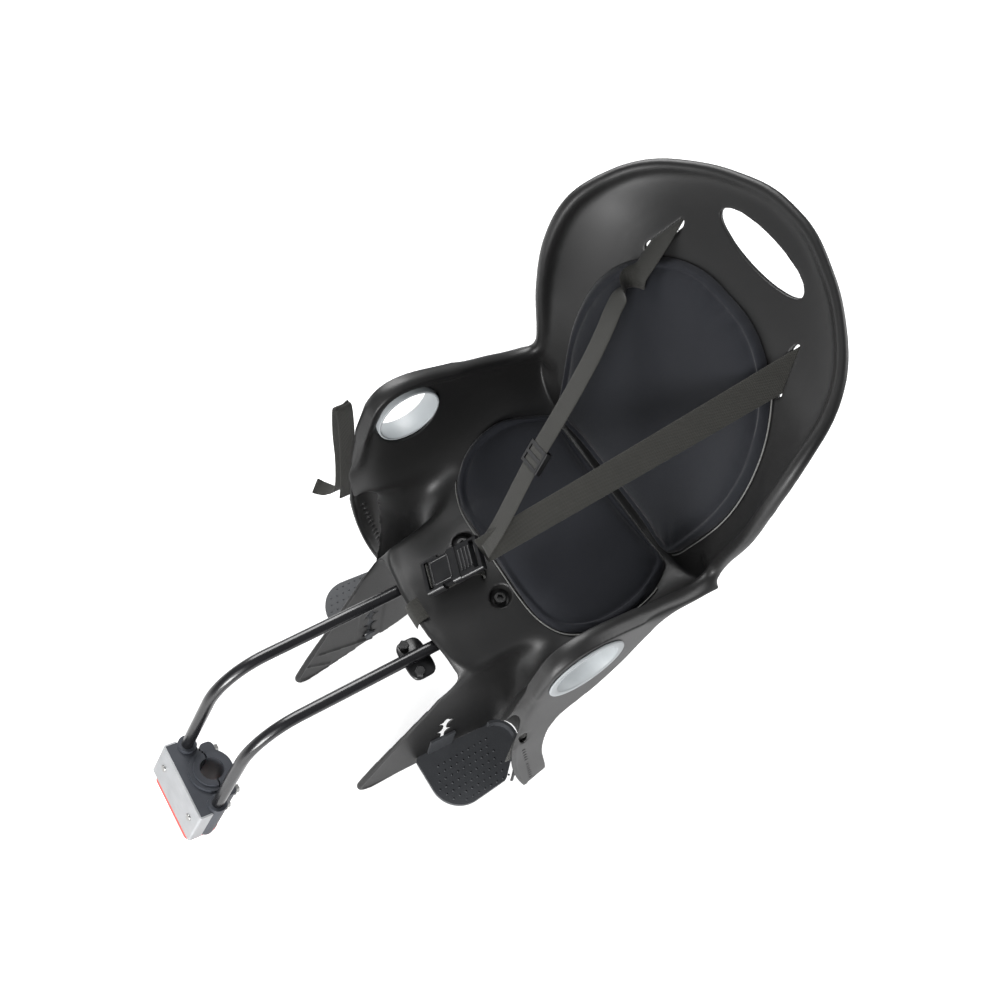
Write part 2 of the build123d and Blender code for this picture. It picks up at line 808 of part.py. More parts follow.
# Clamp block: front half of the seat tube clamp with the two bar sockets and the latch inside
block_rear = -clamp_split / 2
latch_edge = -socket_offset - bar_radius + latch_notch - guide_gap
with BuildPart() as bracket_block:
    with BuildSketch(bracket_level(-block_half_height)):
        with Locations((0, (block_rear - block_front) / 2)):
            RectangleRounded(2 * block_half_width, block_front + block_rear, block_corner)
    extrude(amount=2 * block_half_height)
    with BuildSketch(bracket_level(-block_half_height)):
        with Locations(bar_spots):
            Circle(collar_radius)
    extrude(amount=2 * block_half_height + socket_rise)
    with BuildSketch(bracket_level(-block_half_height)):
        Circle(clamp_boss_radius)
    extrude(amount=2 * block_half_height + boss_rise)
    with BuildSketch(bracket_level(-block_half_height)):
        Circle(clamp_ring_radius)
    extrude(amount=2 * block_half_height + ring_rise)
    with BuildSketch(bracket_level(-2 * block_half_height)):
        with Locations((0, block_rear + half_space / 2)):
            Rectangle(2 * half_space, half_space)
    extrude(amount=4 * block_half_height, mode=Mode.SUBTRACT)
    with BuildSketch(bracket_level(-2 * block_half_height)):
        Circle(clamp_bore_radius)
    extrude(amount=4 * block_half_height, mode=Mode.SUBTRACT)
    with BuildSketch(bracket_level(bar_end_level - guide_gap)):
        with Locations(bar_spots):
            Circle(socket_radius)
    extrude(amount=2 * block_half_height, mode=Mode.SUBTRACT)
    with BuildSketch(bracket_level(latch_level - latch_thickness / 2 - guide_gap)):
        with Locations((0, (latch_edge + guide_gap - block_front) / 2)):
            Rectangle(2 * (latch_half_width + guide_gap), block_front + latch_edge + guide_gap)
    extrude(amount=latch_thickness + 2 * guide_gap, mode=Mode.SUBTRACT)
    with BuildSketch(bracket_level(-2 * block_half_height)):
        with Locations((0, -(stem_front + stem_back) / 2)):
            Rectangle(2 * (stem_half_width + guide_gap), stem_front - stem_back + 2 * guide_gap)
    extrude(amount=2 * block_half_height + latch_level + stem_room, mode=Mode.SUBTRACT)
    with BuildSketch(bracket_face(block_rear)):
        with Locations(clamp_bolt_spots):
            Circle(clamp_bolt_radius + screw_fit)
    extrude(amount=clamp_bolt_grip, mode=Mode.SUBTRACT)
    with BuildSketch(bracket_face(-block_front)):
        with Locations(rivet_spots):
            Circle(rivet_radius + screw_fit)
    extrude(amount=-rivet_depth, mode=Mode.SUBTRACT)

# Front plate: folded steel over the front and sides of the block
plate_half_width = block_half_width + plate_thickness
with BuildPart() as bracket_plate:
    with BuildSketch(bracket_level(-block_half_height)):
        flange_end = -block_front + plate_flange
        with BuildLine():
            Polyline(
                (-plate_half_width, flange_end),
                (-plate_half_width, -block_front - plate_thickness),
                (plate_half_width, -block_front - plate_thickness),
                (plate_half_width, flange_end),
                (block_half_width, flange_end),
                (block_half_width, -block_front),
                (-block_half_width, -block_front),
                (-block_half_width, flange_end),
                close=True,
            )
        make_face()
        front_corners = vertices().group_by(Axis.Y)[0]
        fillet(front_corners, plate_corner)
    extrude(amount=2 * block_half_height)
    with BuildSketch(bracket_face(-block_front)):
        with Locations(rivet_spots):
            Circle(rivet_radius + screw_fit)
    extrude(amount=plate_thickness, mode=Mode.SUBTRACT)

with BuildPart() as plate_rivets:
    with BuildSketch(bracket_face(-block_front - plate_thickness)):
        with Locations(rivet_spots):
            Circle(rivet_head_radius)
    extrude(amount=rivet_head_height)
    fillet(edges().group_by(SortBy.LENGTH)[-1].sort_by(Axis.Y)[:2], rivet_round)
    with BuildSketch(bracket_face(-block_front - plate_thickness)):
        with Locations(rivet_spots):
            Circle(rivet_radius)
    extrude(amount=-rivet_depth)

# Clamp jaw: rear half of the clamp
jaw_front = clamp_split / 2
with BuildPart() as clamp_jaw:
    with BuildSketch(bracket_level(-block_half_height)):
        with Locations((0, jaw_front + jaw_depth / 2)):
            RectangleRounded(2 * jaw_half_width, jaw_depth, jaw_corner)
    extrude(amount=2 * block_half_height)
    with BuildSketch(bracket_level(-block_half_height)):
        Circle(clamp_boss_radius)
    extrude(amount=2 * block_half_height + boss_rise)
    with BuildSketch(bracket_level(-block_half_height)):
        Circle(clamp_ring_radius)
    extrude(amount=2 * block_half_height + ring_rise)
    with BuildSketch(bracket_level(-2 * block_half_height)):
        with Locations((0, jaw_front - half_space / 2)):
            Rectangle(2 * half_space, half_space)
    extrude(amount=4 * block_half_height, mode=Mode.SUBTRACT)
    with BuildSketch(bracket_level(-2 * block_half_height)):
        Circle(clamp_bore_radius)
    extrude(amount=4 * block_half_height, mode=Mode.SUBTRACT)
    with BuildSketch(bracket_face(0)):
        with Locations(clamp_bolt_spots):
            Circle(clamp_bolt_radius + screw_fit)
    extrude(amount=-half_space, mode=Mode.SUBTRACT)
    with BuildSketch(bracket_face(jaw_front + jaw_depth)):
        with Locations(clamp_bolt_spots):
            Circle(bolt_head_radius + spanner_gap)
    extrude(amount=-half_space, mode=Mode.SUBTRACT)

with BuildPart() as clamp_bolts:
    with BuildSketch(bracket_face(jaw_front + jaw_depth)):
        with Locations(clamp_bolt_spots):
            Circle(washer_radius)
    extrude(amount=-washer_thickness)
    with BuildSketch(bracket_face(jaw_front + jaw_depth + washer_thickness)):
        with Locations(clamp_bolt_spots):
            RegularPolygon(bolt_head_radius, 6)
    extrude(amount=-bolt_head_height)
    with BuildSketch(bracket_face(jaw_front + jaw_depth + washer_thickness)):
        with Locations(clamp_bolt_spots):
            Circle(clamp_bolt_radius)
    extrude(amount=jaw_depth + washer_thickness + clamp_split + clamp_bolt_grip - bolt_end_gap)

# Release button under the block: a yoke round the seat tube with a ramped stem that draws the latch forward
button_top = -block_half_height - button_travel - button_gap
ramp_top = latch_level + latch_thickness / 2
ramp_slope = latch_travel / button_travel
ramp_low = ramp_top - button_travel - latch_thickness
stem_top_front = stem_front - ramp_slope * (ramp_top - ramp_low)
with BuildPart() as release_button:
    with BuildSketch(bracket_level(button_top)):
        with Locations((0, (button_rear - button_front) / 2)):
            RectangleRounded(2 * button_half_width, button_front + button_rear, button_corner)
        with Locations((0, half_space / 2 - clamp_bore_radius - yoke_gap)):
            Rectangle(2 * (clamp_bore_radius + yoke_gap), half_space, mode=Mode.SUBTRACT)
    extrude(amount=-button_height)
    fillet(faces().sort_by(bracket_axis)[0].outer_wire().edges(), button_round)
    with BuildSketch(bracket_side(-stem_half_width)):
        with BuildLine():
            Polyline(
                (-stem_front, button_top),
                (-stem_front, ramp_low),
                (-stem_top_front, ramp_top),
                (-stem_top_front, ramp_top + stem_head),
                (-stem_back, ramp_top + stem_head),
                (-stem_back, button_top),
                close=True,
            )
        make_face()
    extrude(amount=2 * stem_half_width)

# Latch plate: its rear edge stands in the notches of the bar
window_front = -(stem_top_front + ramp_slope * latch_thickness + guide_gap)
with BuildPart() as latch_plate:
    with BuildSketch(bracket_level(latch_level - latch_thickness / 2)):
        with Locations((0, latch_edge - latch_depth / 2)):
            Rectangle(2 * latch_half_width, latch_depth)
        with Locations((0, window_front + latch_depth)):
            Rectangle(2 * (stem_half_width + guide_gap), 2 * latch_depth, mode=Mode.SUBTRACT)
    extrude(amount=latch_thickness)

# Shoulder straps: flat webbing from the buckle through the slots to keepers behind the back
with BuildPart() as shoulder_strap_right:
    with BuildSketch(strap_section(0)):
        Rectangle(webbing, webbing_thickness)
    extrude(amount=strap_length + keeper_behind + keeper_thickness + strap_tail)

with BuildPart() as shoulder_strap_left:
    with BuildSketch(strap_section(strap_join)):
        Rectangle(webbing, webbing_thickness)
    extrude(amount=strap_length - strap_join + keeper_behind + keeper_thickness + strap_tail)
    mirror(about=Plane.YZ, mode=Mode.REPLACE)

with BuildPart() as strap_keepers:
    with BuildSketch(strap_section(strap_length + keeper_behind)):
        RectangleRounded(webbing + 2 * fitting_rim, keeper_height, keeper_corner)
        Rectangle(webbing + 2 * guide_gap, webbing_thickness + 2 * guide_gap, mode=Mode.SUBTRACT)
    extrude(amount=keeper_thickness)
    mirror(about=Plane.YZ)

# Ladder slider on the left strap
with BuildPart() as strap_slider:
    with BuildSketch(strap_section(slider_share * strap_length)):
        RectangleRounded(webbing + 2 * fitting_rim, slider_thickness, slider_corner)
        Rectangle(webbing + 2 * guide_gap, webbing_thickness + 2 * guide_gap, mode=Mode.SUBTRACT)
    extrude(amount=slider_length)
    slider_face = Plane(
        origin=buckle_point + strap_run * (slider_share * strap_length + slider_length / 2),
        x_dir=strap_across,
        z_dir=strap_across.cross(strap_run),
    )
    with BuildSketch(slider_face):
        with GridLocations(0, slider_length / 2 - slider_bar / 2, 1, 2):
            Rectangle(slider_window, slider_length / 2 - 1.5 * slider_bar)
    extrude(amount=webbing, mode=Mode.SUBTRACT)
    mirror(about=Plane.YZ, mode=Mode.REPLACE)

# Buckle: socket on the crotch strap, tongue on the shoulder straps
buckle_start = in_seat(buckle_low)
buckle_run = (buckle_point - buckle_start).normalized()
buckle_across = crotch_run.cross(Vector(0, 0, -1))
buckle_across = (buckle_across - buckle_run * buckle_across.dot(buckle_run)).normalized()
buckle_face = Plane(origin=buckle_start, x_dir=buckle_across, z_dir=buckle_across.cross(buckle_run))


def buckle_section(distance):
    return Plane(origin=buckle_start + buckle_run * distance, x_dir=buckle_across, z_dir=buckle_run)


tongue_reach = (buckle_point - buckle_start).length - socket_length - buckle_fit - tongue_gap
pocket_width = buckle_width - 2 * buckle_wall
pocket_height = buckle_thickness - 2 * buckle_wall
with BuildPart() as buckle_socket:
    with BuildSketch(buckle_section(0)):
        RectangleRounded(buckle_width, buckle_thickness, buckle_corner)
    extrude(amount=socket_length)
    with BuildSketch(buckle_section(strap_bar + strap_window + buckle_wall)):
        Rectangle(pocket_width, pocket_height)
    extrude(amount=socket_length, mode=Mode.SUBTRACT)
    with BuildSketch(buckle_face):
        with Locations((0, strap_bar + strap_window / 2)):
            Rectangle(webbing + 2 * slot_gap, strap_window)
        with Locations((buckle_width / 2, prong_window_y), (-buckle_width / 2, prong_window_y)):
            RectangleRounded(4 * buckle_wall, prong_window, prong_window_corner)
    extrude(amount=buckle_thickness, both=True, mode=Mode.SUBTRACT)

with BuildPart() as buckle_tongue:
    tongue_start = socket_length + buckle_fit
    with BuildSketch(buckle_section(tongue_start)):
        RectangleRounded(buckle_width, tongue_thickness, tongue_corner)
    extrude(amount=tongue_reach)
    with BuildSketch(buckle_section(tongue_start)):
        prong_x = pocket_width / 2 - buckle_fit - prong_width / 2
        with Locations((-prong_x, 0), (0, 0), (prong_x, 0)):
            Rectangle(prong_width, pocket_height - 2 * buckle_fit)
    extrude(amount=-(socket_length - strap_bar - strap_window - 2 * buckle_wall))
    with BuildSketch(buckle_face):
        with Locations((0, tongue_start + tongue_reach - strap_bar - strap_window / 2)):
            Rectangle(webbing + 2 * slot_gap, strap_window)
    extrude(amount=buckle_thickness, both=True, mode=Mode.SUBTRACT)

# Crotch strap: from under the pan, forward and round the bar of the socket
bar_middle = buckle_start + buckle_run * (strap_bar + strap_window / 2) - crotch_start
bar_spot = Vector(bar_middle.dot(crotch_run), bar_middle.Z)
socket_normal = buckle_face.z_dir
through = Vector(socket_normal.dot(crotch_run), socket_normal.Z)
with BuildPart() as crotch_strap:
    with BuildSketch(crotch_plane):
        with BuildLine():
            Polyline(
                *crotch_bends,
                bar_spot - through * (buckle_thickness / 2 + crotch_loop),
                bar_spot + through * (buckle_thickness / 2),
            )
        trace(line_width=webbing_thickness)
    extrude(amount=webbing / 2, both=True)

# Foot straps: the left one pulled up and folded over, the right one hanging inside its band
strap_face = -(skirt_outside + guide_gap + webbing_thickness / 2)
with BuildPart() as foot_strap_left:
    with BuildSketch(seat_cross(foot_strap_y)):
        with BuildLine():
            FilletPolyline([(strap_face - out, z) for out, z in foot_strap_bends], radius=foot_strap_round)
        trace(line_width=webbing_thickness)
    extrude(amount=foot_webbing / 2, both=True)

hang_x = skirt_inside - guide_gap - webbing_thickness / 2
with BuildPart() as foot_strap_right:
    with BuildSketch(seat_cross(hang_y)):
        with BuildLine():
            Line((hang_x, hang_top), (hang_x, hang_end))
        trace(line_width=webbing_thickness)
    extrude(amount=foot_webbing / 2, both=True)

pieces = {
    "shell": shell,
    "seat_pad": seat_pad,
    "back_pad": back_pad,
    "grip_ring_right": grip_ring_right,
    "grip_ring_left": grip_ring_left,
    "footrest_right": footrest_right,
    "footrest_left": footrest_left,
    "carrier_bar": carrier_bar,
    "bar_clamp": bar_clamp,
    "bar_clamp_bolts": bar_clamp_bolts,
    "seat_screws": seat_screws,
    "bracket_block": bracket_block,
    "bracket_plate": bracket_plate,
    "plate_rivets": plate_rivets,
    "clamp_jaw": clamp_jaw,
    "clamp_bolts": clamp_bolts,
    "release_button": release_button,
    "latch_plate": latch_plate,
    "shoulder_strap_right": shoulder_strap_right,
    "shoulder_strap_left": shoulder_strap_left,
    "strap_keepers": strap_keepers,
    "strap_slider": strap_slider,
    "crotch_strap": crotch_strap,
    "buckle_socket": buckle_socket,
    "buckle_tongue": buckle_tongue,
    "foot_strap_left": foot_strap_left,
    "foot_strap_right": foot_strap_right,
}
os.makedirs("parts", exist_ok=True)
for name, piece in pieces.items():
    piece.part.label = name
    export_step(piece.part, f"parts/{name}.step")
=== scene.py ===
import math

import bmesh
import bpy
import numpy as np
from mathutils import Matrix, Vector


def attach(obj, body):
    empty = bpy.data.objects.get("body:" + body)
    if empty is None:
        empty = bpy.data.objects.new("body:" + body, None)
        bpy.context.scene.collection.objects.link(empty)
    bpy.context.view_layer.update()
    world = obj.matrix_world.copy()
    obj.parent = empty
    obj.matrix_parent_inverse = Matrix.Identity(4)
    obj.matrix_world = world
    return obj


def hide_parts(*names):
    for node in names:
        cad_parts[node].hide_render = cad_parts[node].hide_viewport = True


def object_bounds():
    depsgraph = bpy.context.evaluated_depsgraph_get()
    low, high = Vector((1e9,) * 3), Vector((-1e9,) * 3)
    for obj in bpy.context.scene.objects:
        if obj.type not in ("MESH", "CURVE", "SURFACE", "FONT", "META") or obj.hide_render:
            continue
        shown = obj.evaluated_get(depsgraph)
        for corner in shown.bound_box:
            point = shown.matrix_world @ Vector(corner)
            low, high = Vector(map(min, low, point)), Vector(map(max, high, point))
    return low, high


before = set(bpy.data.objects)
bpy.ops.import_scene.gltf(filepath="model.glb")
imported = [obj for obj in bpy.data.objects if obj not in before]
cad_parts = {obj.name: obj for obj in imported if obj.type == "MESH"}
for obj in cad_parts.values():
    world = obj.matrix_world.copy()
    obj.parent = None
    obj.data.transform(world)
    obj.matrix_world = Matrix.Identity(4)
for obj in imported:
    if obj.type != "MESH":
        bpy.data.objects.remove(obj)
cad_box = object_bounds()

# Photographer's table: a wide white sheet under the seat, with one large soft box over its left side
# and weaker ones in front, low at the right and behind. The camera looks down past the seat's right front.
scene = bpy.context.scene
scene.view_settings.view_transform = "Standard"


class Value:
    """A socket in a material. Sums and products add Math nodes, and node() adds any other node."""

    def __init__(self, tree, socket=None):
        self.tree = tree
        self.socket = socket

    def node(self, kind, settings, sockets, out=0):
        """Adds a node: its settings first, then the value or link of each socket."""
        made = self.tree.nodes.new("ShaderNode" + kind)
        for name, setting in settings.items():
            setattr(made, name, setting)
        for key, given in sockets.items():
            if isinstance(given, Value):
                self.tree.links.new(given.socket, made.inputs[key])
            else:
                made.inputs[key].default_value = given
        return Value(self.tree, made.outputs[out])

    def math(self, operation, first, second):
        """Math node on two values or numbers."""
        return self.node("Math", {"operation": operation}, {0: first, 1: second})

    def __add__(self, other):
        return self.math("ADD", self, other)

    def __mul__(self, other):
        return self.math("MULTIPLY", self, other)

    __radd__ = __add__
    __rmul__ = __mul__

    def wave(self, pitch):
        """Sine of the value, one turn per pitch."""
        return self.node("Math", {"operation": "SINE"}, {0: self * (2 * math.pi / pitch)})

    def noise(self, scale, detail=3.0):
        """Noise between 0 and 1 at a vector place, scale cells to the metre."""
        return self.node("TexNoise", {}, {"Vector": self, "Scale": scale, "Detail": detail})

    def axes(self):
        """The three numbers of a vector."""
        made = self.tree.nodes.new("ShaderNodeSeparateXYZ")
        self.tree.links.new(self.socket, made.inputs[0])
        return [Value(self.tree, out) for out in made.outputs]

    def blend(self, low, high):
        """Colour between low and high by a value from 0 to 1."""
        mixing = {"data_type": "RGBA", "clamp_factor": True}
        return self.node("Mix", mixing, {0: self, 6: low, 7: high}, out=2)

    def bump(self, strength, depth):
        """Normal from a height, depth metres for one unit."""
        return self.node("Bump", {}, {"Strength": strength, "Distance": depth, "Height": self})


def finish(name, **fixed):
    """New material: returns it, its shader's node and the place on the piece in its own coordinates."""
    material = bpy.data.materials.new(name)
    material.use_nodes = True
    shader = material.node_tree.nodes["Principled BSDF"]
    for socket, given in fixed.items():
        shader.inputs[socket.replace("_", " ")].default_value = given
    place = Value(material.node_tree).node("TexCoord", {}, {}, out="Object")
    return material, shader, place


def feed(shader, **values):
    """Links varying values to the shader's inputs."""
    for socket, value in values.items():
        value.tree.links.new(value.socket, shader.inputs[socket.replace("_", " ")])


same_point = 2e-6


def skin(name, grid, round_u=False, round_v=False, weave=None):
    """Mesh over a grid of points: one face for each cell, the last row or column joined to the first
    where round. The weave is a vector kept at each point."""
    rows, columns = grid.shape[:2]
    index = np.arange(rows * columns).reshape(rows, columns)
    if round_u:
        index = np.concatenate([index, index[:1]], 0)
    if round_v:
        index = np.concatenate([index, index[:, :1]], 1)
    faces = np.stack([index[:-1, :-1], index[1:, :-1], index[1:, 1:], index[:-1, 1:]], -1)
    mesh = bpy.data.meshes.new(name)
    mesh.from_pydata(grid.reshape(-1, 3), [], faces.reshape(-1, 4))
    if weave is not None:
        layer = mesh.attributes.new("weave", "FLOAT_VECTOR", "POINT")
        layer.data.foreach_set("vector", weave.reshape(-1).astype(np.float32))
    shape = bmesh.new()
    shape.from_mesh(mesh)
    bmesh.ops.remove_doubles(shape, verts=shape.verts, dist=same_point)
    bmesh.ops.recalc_face_normals(shape, faces=shape.faces)
    shape.to_mesh(mesh)
    shape.free()
    mesh.shade_smooth()
    piece = bpy.data.objects.new(name, mesh)
    scene.collection.objects.link(piece)
    return piece


floor_gap = 0.0005
floor_half = 6.0
floor_mirrored = 0.45
floor_lines = np.linspace(-floor_half, floor_half, 5)
floor_x, floor_y = np.meshgrid(floor_lines, floor_lines, indexing="ij")
floor_grid = np.stack([floor_x, floor_y, np.full_like(floor_x, cad_box[0].z - floor_gap)], -1)
floor = skin("studio_floor", floor_grid)
paper, paper_shader, paper_place = finish("studio_paper", Roughness=0.9, Emission_Strength=1.0)
paper_seen = paper_place.node("LightPath", {}, {}, out="Is Camera Ray")
paper_mirrored = paper_place.node("LightPath", {}, {}, out="Is Glossy Ray")
paper_grain = paper_place.noise(40.0)
feed(paper_shader, Base_Color=paper_grain.blend((0.62, 0.62, 0.62, 1), (0.66, 0.66, 0.66, 1)))
paper_glow = paper_seen + paper_mirrored * floor_mirrored
feed(paper_shader, Emission_Color=paper_glow.blend((0.0, 0.0, 0.0, 1), (0.60, 0.60, 0.60, 1)))
floor.data.materials.append(paper)

sky = bpy.data.worlds.new("studio_air")
sky.use_nodes = True
scene.world = sky
sky_seen = Value(sky.node_tree).node("LightPath", {}, {}, out="Is Camera Ray")
sky_colour = sky_seen.blend((0.25, 0.255, 0.265, 1), (1, 1, 1, 1))
sky.node_tree.links.new(sky_colour.socket, sky.node_tree.nodes["Background"].inputs["Color"])


def soft_box(name, place, target, size, power):
    """Square area light at a place, turned to its target."""
    lamp = bpy.data.lights.new(name, "AREA")
    lamp.shape = "SQUARE"
    lamp.size = size
    lamp.energy = power
    box = bpy.data.objects.new(name, lamp)
    back = np.array(place) - np.array(target)
    back = back / np.linalg.norm(back)
    across = np.cross((0, 0, 1), back)
    across = across / np.linalg.norm(across)
    turn = np.eye(4)
    turn[:3, :3] = np.stack([across, np.cross(back, across), back], 1)
    turn[:3, 3] = place
    box.matrix_world = Matrix(turn)
    scene.collection.objects.link(box)


soft_box("soft_box_left", (-1.9, 0.5, 1.9), (0, 0.35, 0.3), 1.8, 98.0)
soft_box("soft_box_front", (1.1, -1.7, 1.5), (0, 0.3, 0.2), 1.4, 20.0)
soft_box("soft_box_low", (0.62, -0.55, 0.34), (0.14, 0.22, -0.06), 0.4, 12.0)
soft_box("soft_box_back", (0.6, 2.0, 1.4), (0, 0.45, 0.4), 1.2, 24.0)

camera_right = (0.5388554263, 0.8277873541, 0.1562143587)
camera_up = (-0.7510741400, 0.3881301629, 0.5340810921)
camera_back = (0.3814740697, -0.4051210597, 0.8308757195)
camera_place = (0.4353, -0.1120, 1.3143)
lens = bpy.data.cameras.new("photo_camera")
lens.lens = 39.96
lens.sensor_width = 36.0
lens.clip_end = 50.0
camera = bpy.data.objects.new("photo_camera", lens)
camera_turn = np.eye(4)
camera_turn[:3] = np.stack([camera_right, camera_up, camera_back, camera_place], 1)
camera.matrix_world = Matrix(camera_turn)
scene.collection.objects.link(camera)
scene.camera = camera


# Seat tube clamp: two moulded halves in glass-filled nylon with a folded steel plate riveted over the front.
# Four hex bolts at the rear draw the halves together round the bicycle's seat tube.
def dress(node, material):
    """A CAD node keeps its shape and takes this finish."""
    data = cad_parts[node].data
    data.materials.clear()
    data.materials.append(material)


nylon, nylon_shader, nylon_place = finish("clamp_nylon", Specular_IOR_Level=0.4)
nylon_grain = nylon_place.noise(900.0, 2.0)
nylon_cloud = nylon_place.noise(30.0)
feed(nylon_shader,
     Base_Color=nylon_cloud.blend((0.030, 0.033, 0.040, 1), (0.050, 0.054, 0.064, 1)),
     Roughness=nylon_cloud * 0.16 + 0.42,
     Normal=nylon_grain.bump(0.25, 0.0006))
dress("bracket_block", nylon)
dress("clamp_jaw", nylon)

plate_steel, plate_shader, plate_place = finish("plate_steel", Metallic=1.0)
plate_grain = plate_place.node("Mapping", {}, {"Vector": plate_place, "Scale": (40.0, 900.0, 900.0)})
plate_brush = plate_grain.noise(1.0, 2.0)
plate_cloud = plate_place.noise(55.0)
feed(plate_shader,
     Base_Color=plate_cloud.blend((0.39, 0.40, 0.41, 1), (0.51, 0.52, 0.53, 1)),
     Roughness=plate_brush * 0.2 + 0.40,
     Normal=plate_brush.bump(0.15, 0.0004))
dress("bracket_plate", plate_steel)
dress("latch_plate", plate_steel)

zinc, zinc_shader, zinc_place = finish("bolt_zinc", Metallic=1.0)
zinc_cloud = zinc_place.noise(300.0)
feed(zinc_shader,
     Base_Color=zinc_cloud.blend((0.30, 0.30, 0.29, 1), (0.46, 0.46, 0.45, 1)),
     Roughness=zinc_cloud * 0.25 + 0.25)
for bolts in ("plate_rivets", "clamp_bolts", "bar_clamp_bolts"):
    dress(bolts, zinc)

# Release button: a red yoke moulded in acetal that is pressed up under the clamp block.
# Its ramped stem draws the steel latch plate forward, out of the notches in the bar ends.
acetal, acetal_shader, acetal_place = finish("button_acetal", Coat_Roughness=0.2)
acetal_cloud = acetal_place.noise(60.0)
feed(acetal_shader,
     Base_Color=acetal_cloud.blend((0.50, 0.030, 0.016, 1), (0.62, 0.045, 0.025, 1)),
     Roughness=acetal_cloud * 0.15 + 0.30,
     Normal=acetal_place.noise(1100.0, 2.0).bump(0.1, 0.0004))
dress("release_button", acetal)

# Carrier bar: one round steel rod bent into two prongs and a bow, dipped in gloss black paint.
# Its ends stand in the sockets of the clamp block and its bow lies under the pan.
bar_radius = 0.007
bar_half_spacing = 0.040
bar_lean = math.radians(20.0)
bar_bend = 0.075
socket_offset = 0.0115
socket_depth = 0.022
bow_start = 0.095
seat_origin = np.array((0.0, 0.275, 0.171))


def carried(path, across, profile):
    """Profile (across, outward) carried along a path: at each point across lies along the given direction,
    made square to the path's run, and outward is the run crossed with it."""
    run = np.gradient(path, axis=0)
    run = run / np.linalg.norm(run, axis=1, keepdims=True)
    across = across - run * np.sum(across * run, 1, keepdims=True)
    across = across / np.linalg.norm(across, axis=1, keepdims=True)
    outward = np.cross(run, across)
    return path[:, None] + profile[None, :, :1] * across[:, None] + profile[None, :, 1:] * outward[:, None]


def circle(count):
    """Points round a unit circle."""
    turn = np.linspace(0, 2 * np.pi, count, endpoint=False)
    return np.stack([np.cos(turn), np.sin(turn)], -1)


def capped(grid):
    """A tube's grid with its two ends drawn in to their middles."""
    first = np.broadcast_to(grid[0].mean(0), grid[:1].shape)
    last = np.broadcast_to(grid[-1].mean(0), grid[:1].shape)
    return np.concatenate([first, grid, last])


lean_run = np.array((0.0, math.sin(bar_lean), math.cos(bar_lean)))
prong_foot = socket_offset * np.array((0.0, -math.cos(bar_lean), math.sin(bar_lean)))
bend_turn = np.linspace(0, math.pi / 2 - bar_lean, 28)[:, None]
bend_reach = bar_bend * math.tan((math.pi / 2 - bar_lean) / 2)
corner = prong_foot + lean_run * (seat_origin[2] - prong_foot[2]) / lean_run[2]
bend_start = corner - lean_run * bend_reach
bend_side = np.array((0.0, lean_run[2], -lean_run[1]))
bend = bend_start + bar_bend * (np.sin(bend_turn) * lean_run + (1 - np.cos(bend_turn)) * bend_side)
tail = seat_origin + (0.0, bow_start, 0.0)
rise = np.dot(bend_start - prong_foot, lean_run)
rising = prong_foot + lean_run * np.linspace(-socket_depth, rise, 12)[:, None]
level = bend[-1] + (tail - bend[-1]) * np.linspace(0, 1, 16)[:, None]
half_path = np.concatenate([rising, bend[1:], level[1:]]) + (bar_half_spacing, 0, 0)
bow_turn = np.linspace(0, np.pi, 40)[1:-1]
bow = tail + bar_half_spacing * np.stack([np.cos(bow_turn), np.sin(bow_turn), 0 * bow_turn], -1)
bar_path = np.concatenate([half_path, bow, half_path[::-1] * (-1, 1, 1)])
bar_run = np.gradient(bar_path, axis=0)
bar_grid = capped(carried(bar_path, np.cross(bar_run, (0, 0, 1)), bar_radius * circle(24)))
bar = skin("carrier_bar_rod", bar_grid, round_v=True)
paint, paint_shader, paint_place = finish(
    "bar_paint", Coat_Weight=0.25, Coat_Roughness=0.12, Specular_IOR_Level=0.45)
paint_cloud = paint_place.noise(25.0)
feed(paint_shader,
     Base_Color=paint_cloud.blend((0.004, 0.004, 0.005, 1), (0.010, 0.010, 0.011, 1)),
     Roughness=paint_cloud * 0.10 + 0.22,
     Normal=paint_place.noise(220.0, 2.0).bump(0.05, 0.0004))
bar.data.materials.append(paint)
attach(bar, "seat")
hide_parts("carrier_bar")

# Shell: one injection moulding in satin black polypropylene with its pan, back, arms, leg troughs and bands.
# The edge of head, arms and bands is turned over to a soft bead, widest on the arms, where a hand rests.
# All edges are rounded by the mould, and the surfaces run into each other without a seam.
shell_voxel = 0.0014
shell_ease = 8
shell_share = 0.22
rim_reach, rim_fade, rim_steps = 32.0, 16.0, 160
edge_reach, edge_fade, edge_steps = 14.0, 8.0, 40
front_reach, front_fade = 24.0, 12.0
mouth_reach, mouth_fade, mouth_steps = 50.0, 30.0, 300
leg_half_gap = 88.0
leg_splay = math.radians(3.8)
star_rise, star_tip, star_waist, star_depth = 13.0, 10.5, 5.6, 9.0
star_pocket = [(-22.0, -232.0), (18.0, -232.0), (18.0, -100.0), (-22.0, -100.0)]
star_web = 2.3
leg_wall = 3.5
lip_half = 0.0052
rib_half = 0.0022
web_half = (0.013, 0.0035)
arm_first, arm_last = 13, 22
handle_size, handle_level, handle_depth = (60.2, 16.6), 447.0, (270.0, 360.0)
star_place, star_levels = -2.0, (-205.0, -178.0, -151.0, -124.0)


def merged_copy(name, node):
    """New object with a copy of a CAD node's mesh, its shared corners joined."""
    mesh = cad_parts[node].data.copy()
    mesh.name = name
    shape = bmesh.new()
    shape.from_mesh(mesh)
    bmesh.ops.remove_doubles(shape, verts=shape.verts, dist=same_point / 2)
    shape.to_mesh(mesh)
    shape.free()
    mesh.materials.clear()
    piece = bpy.data.objects.new(name, mesh)
    scene.collection.objects.link(piece)
    return piece


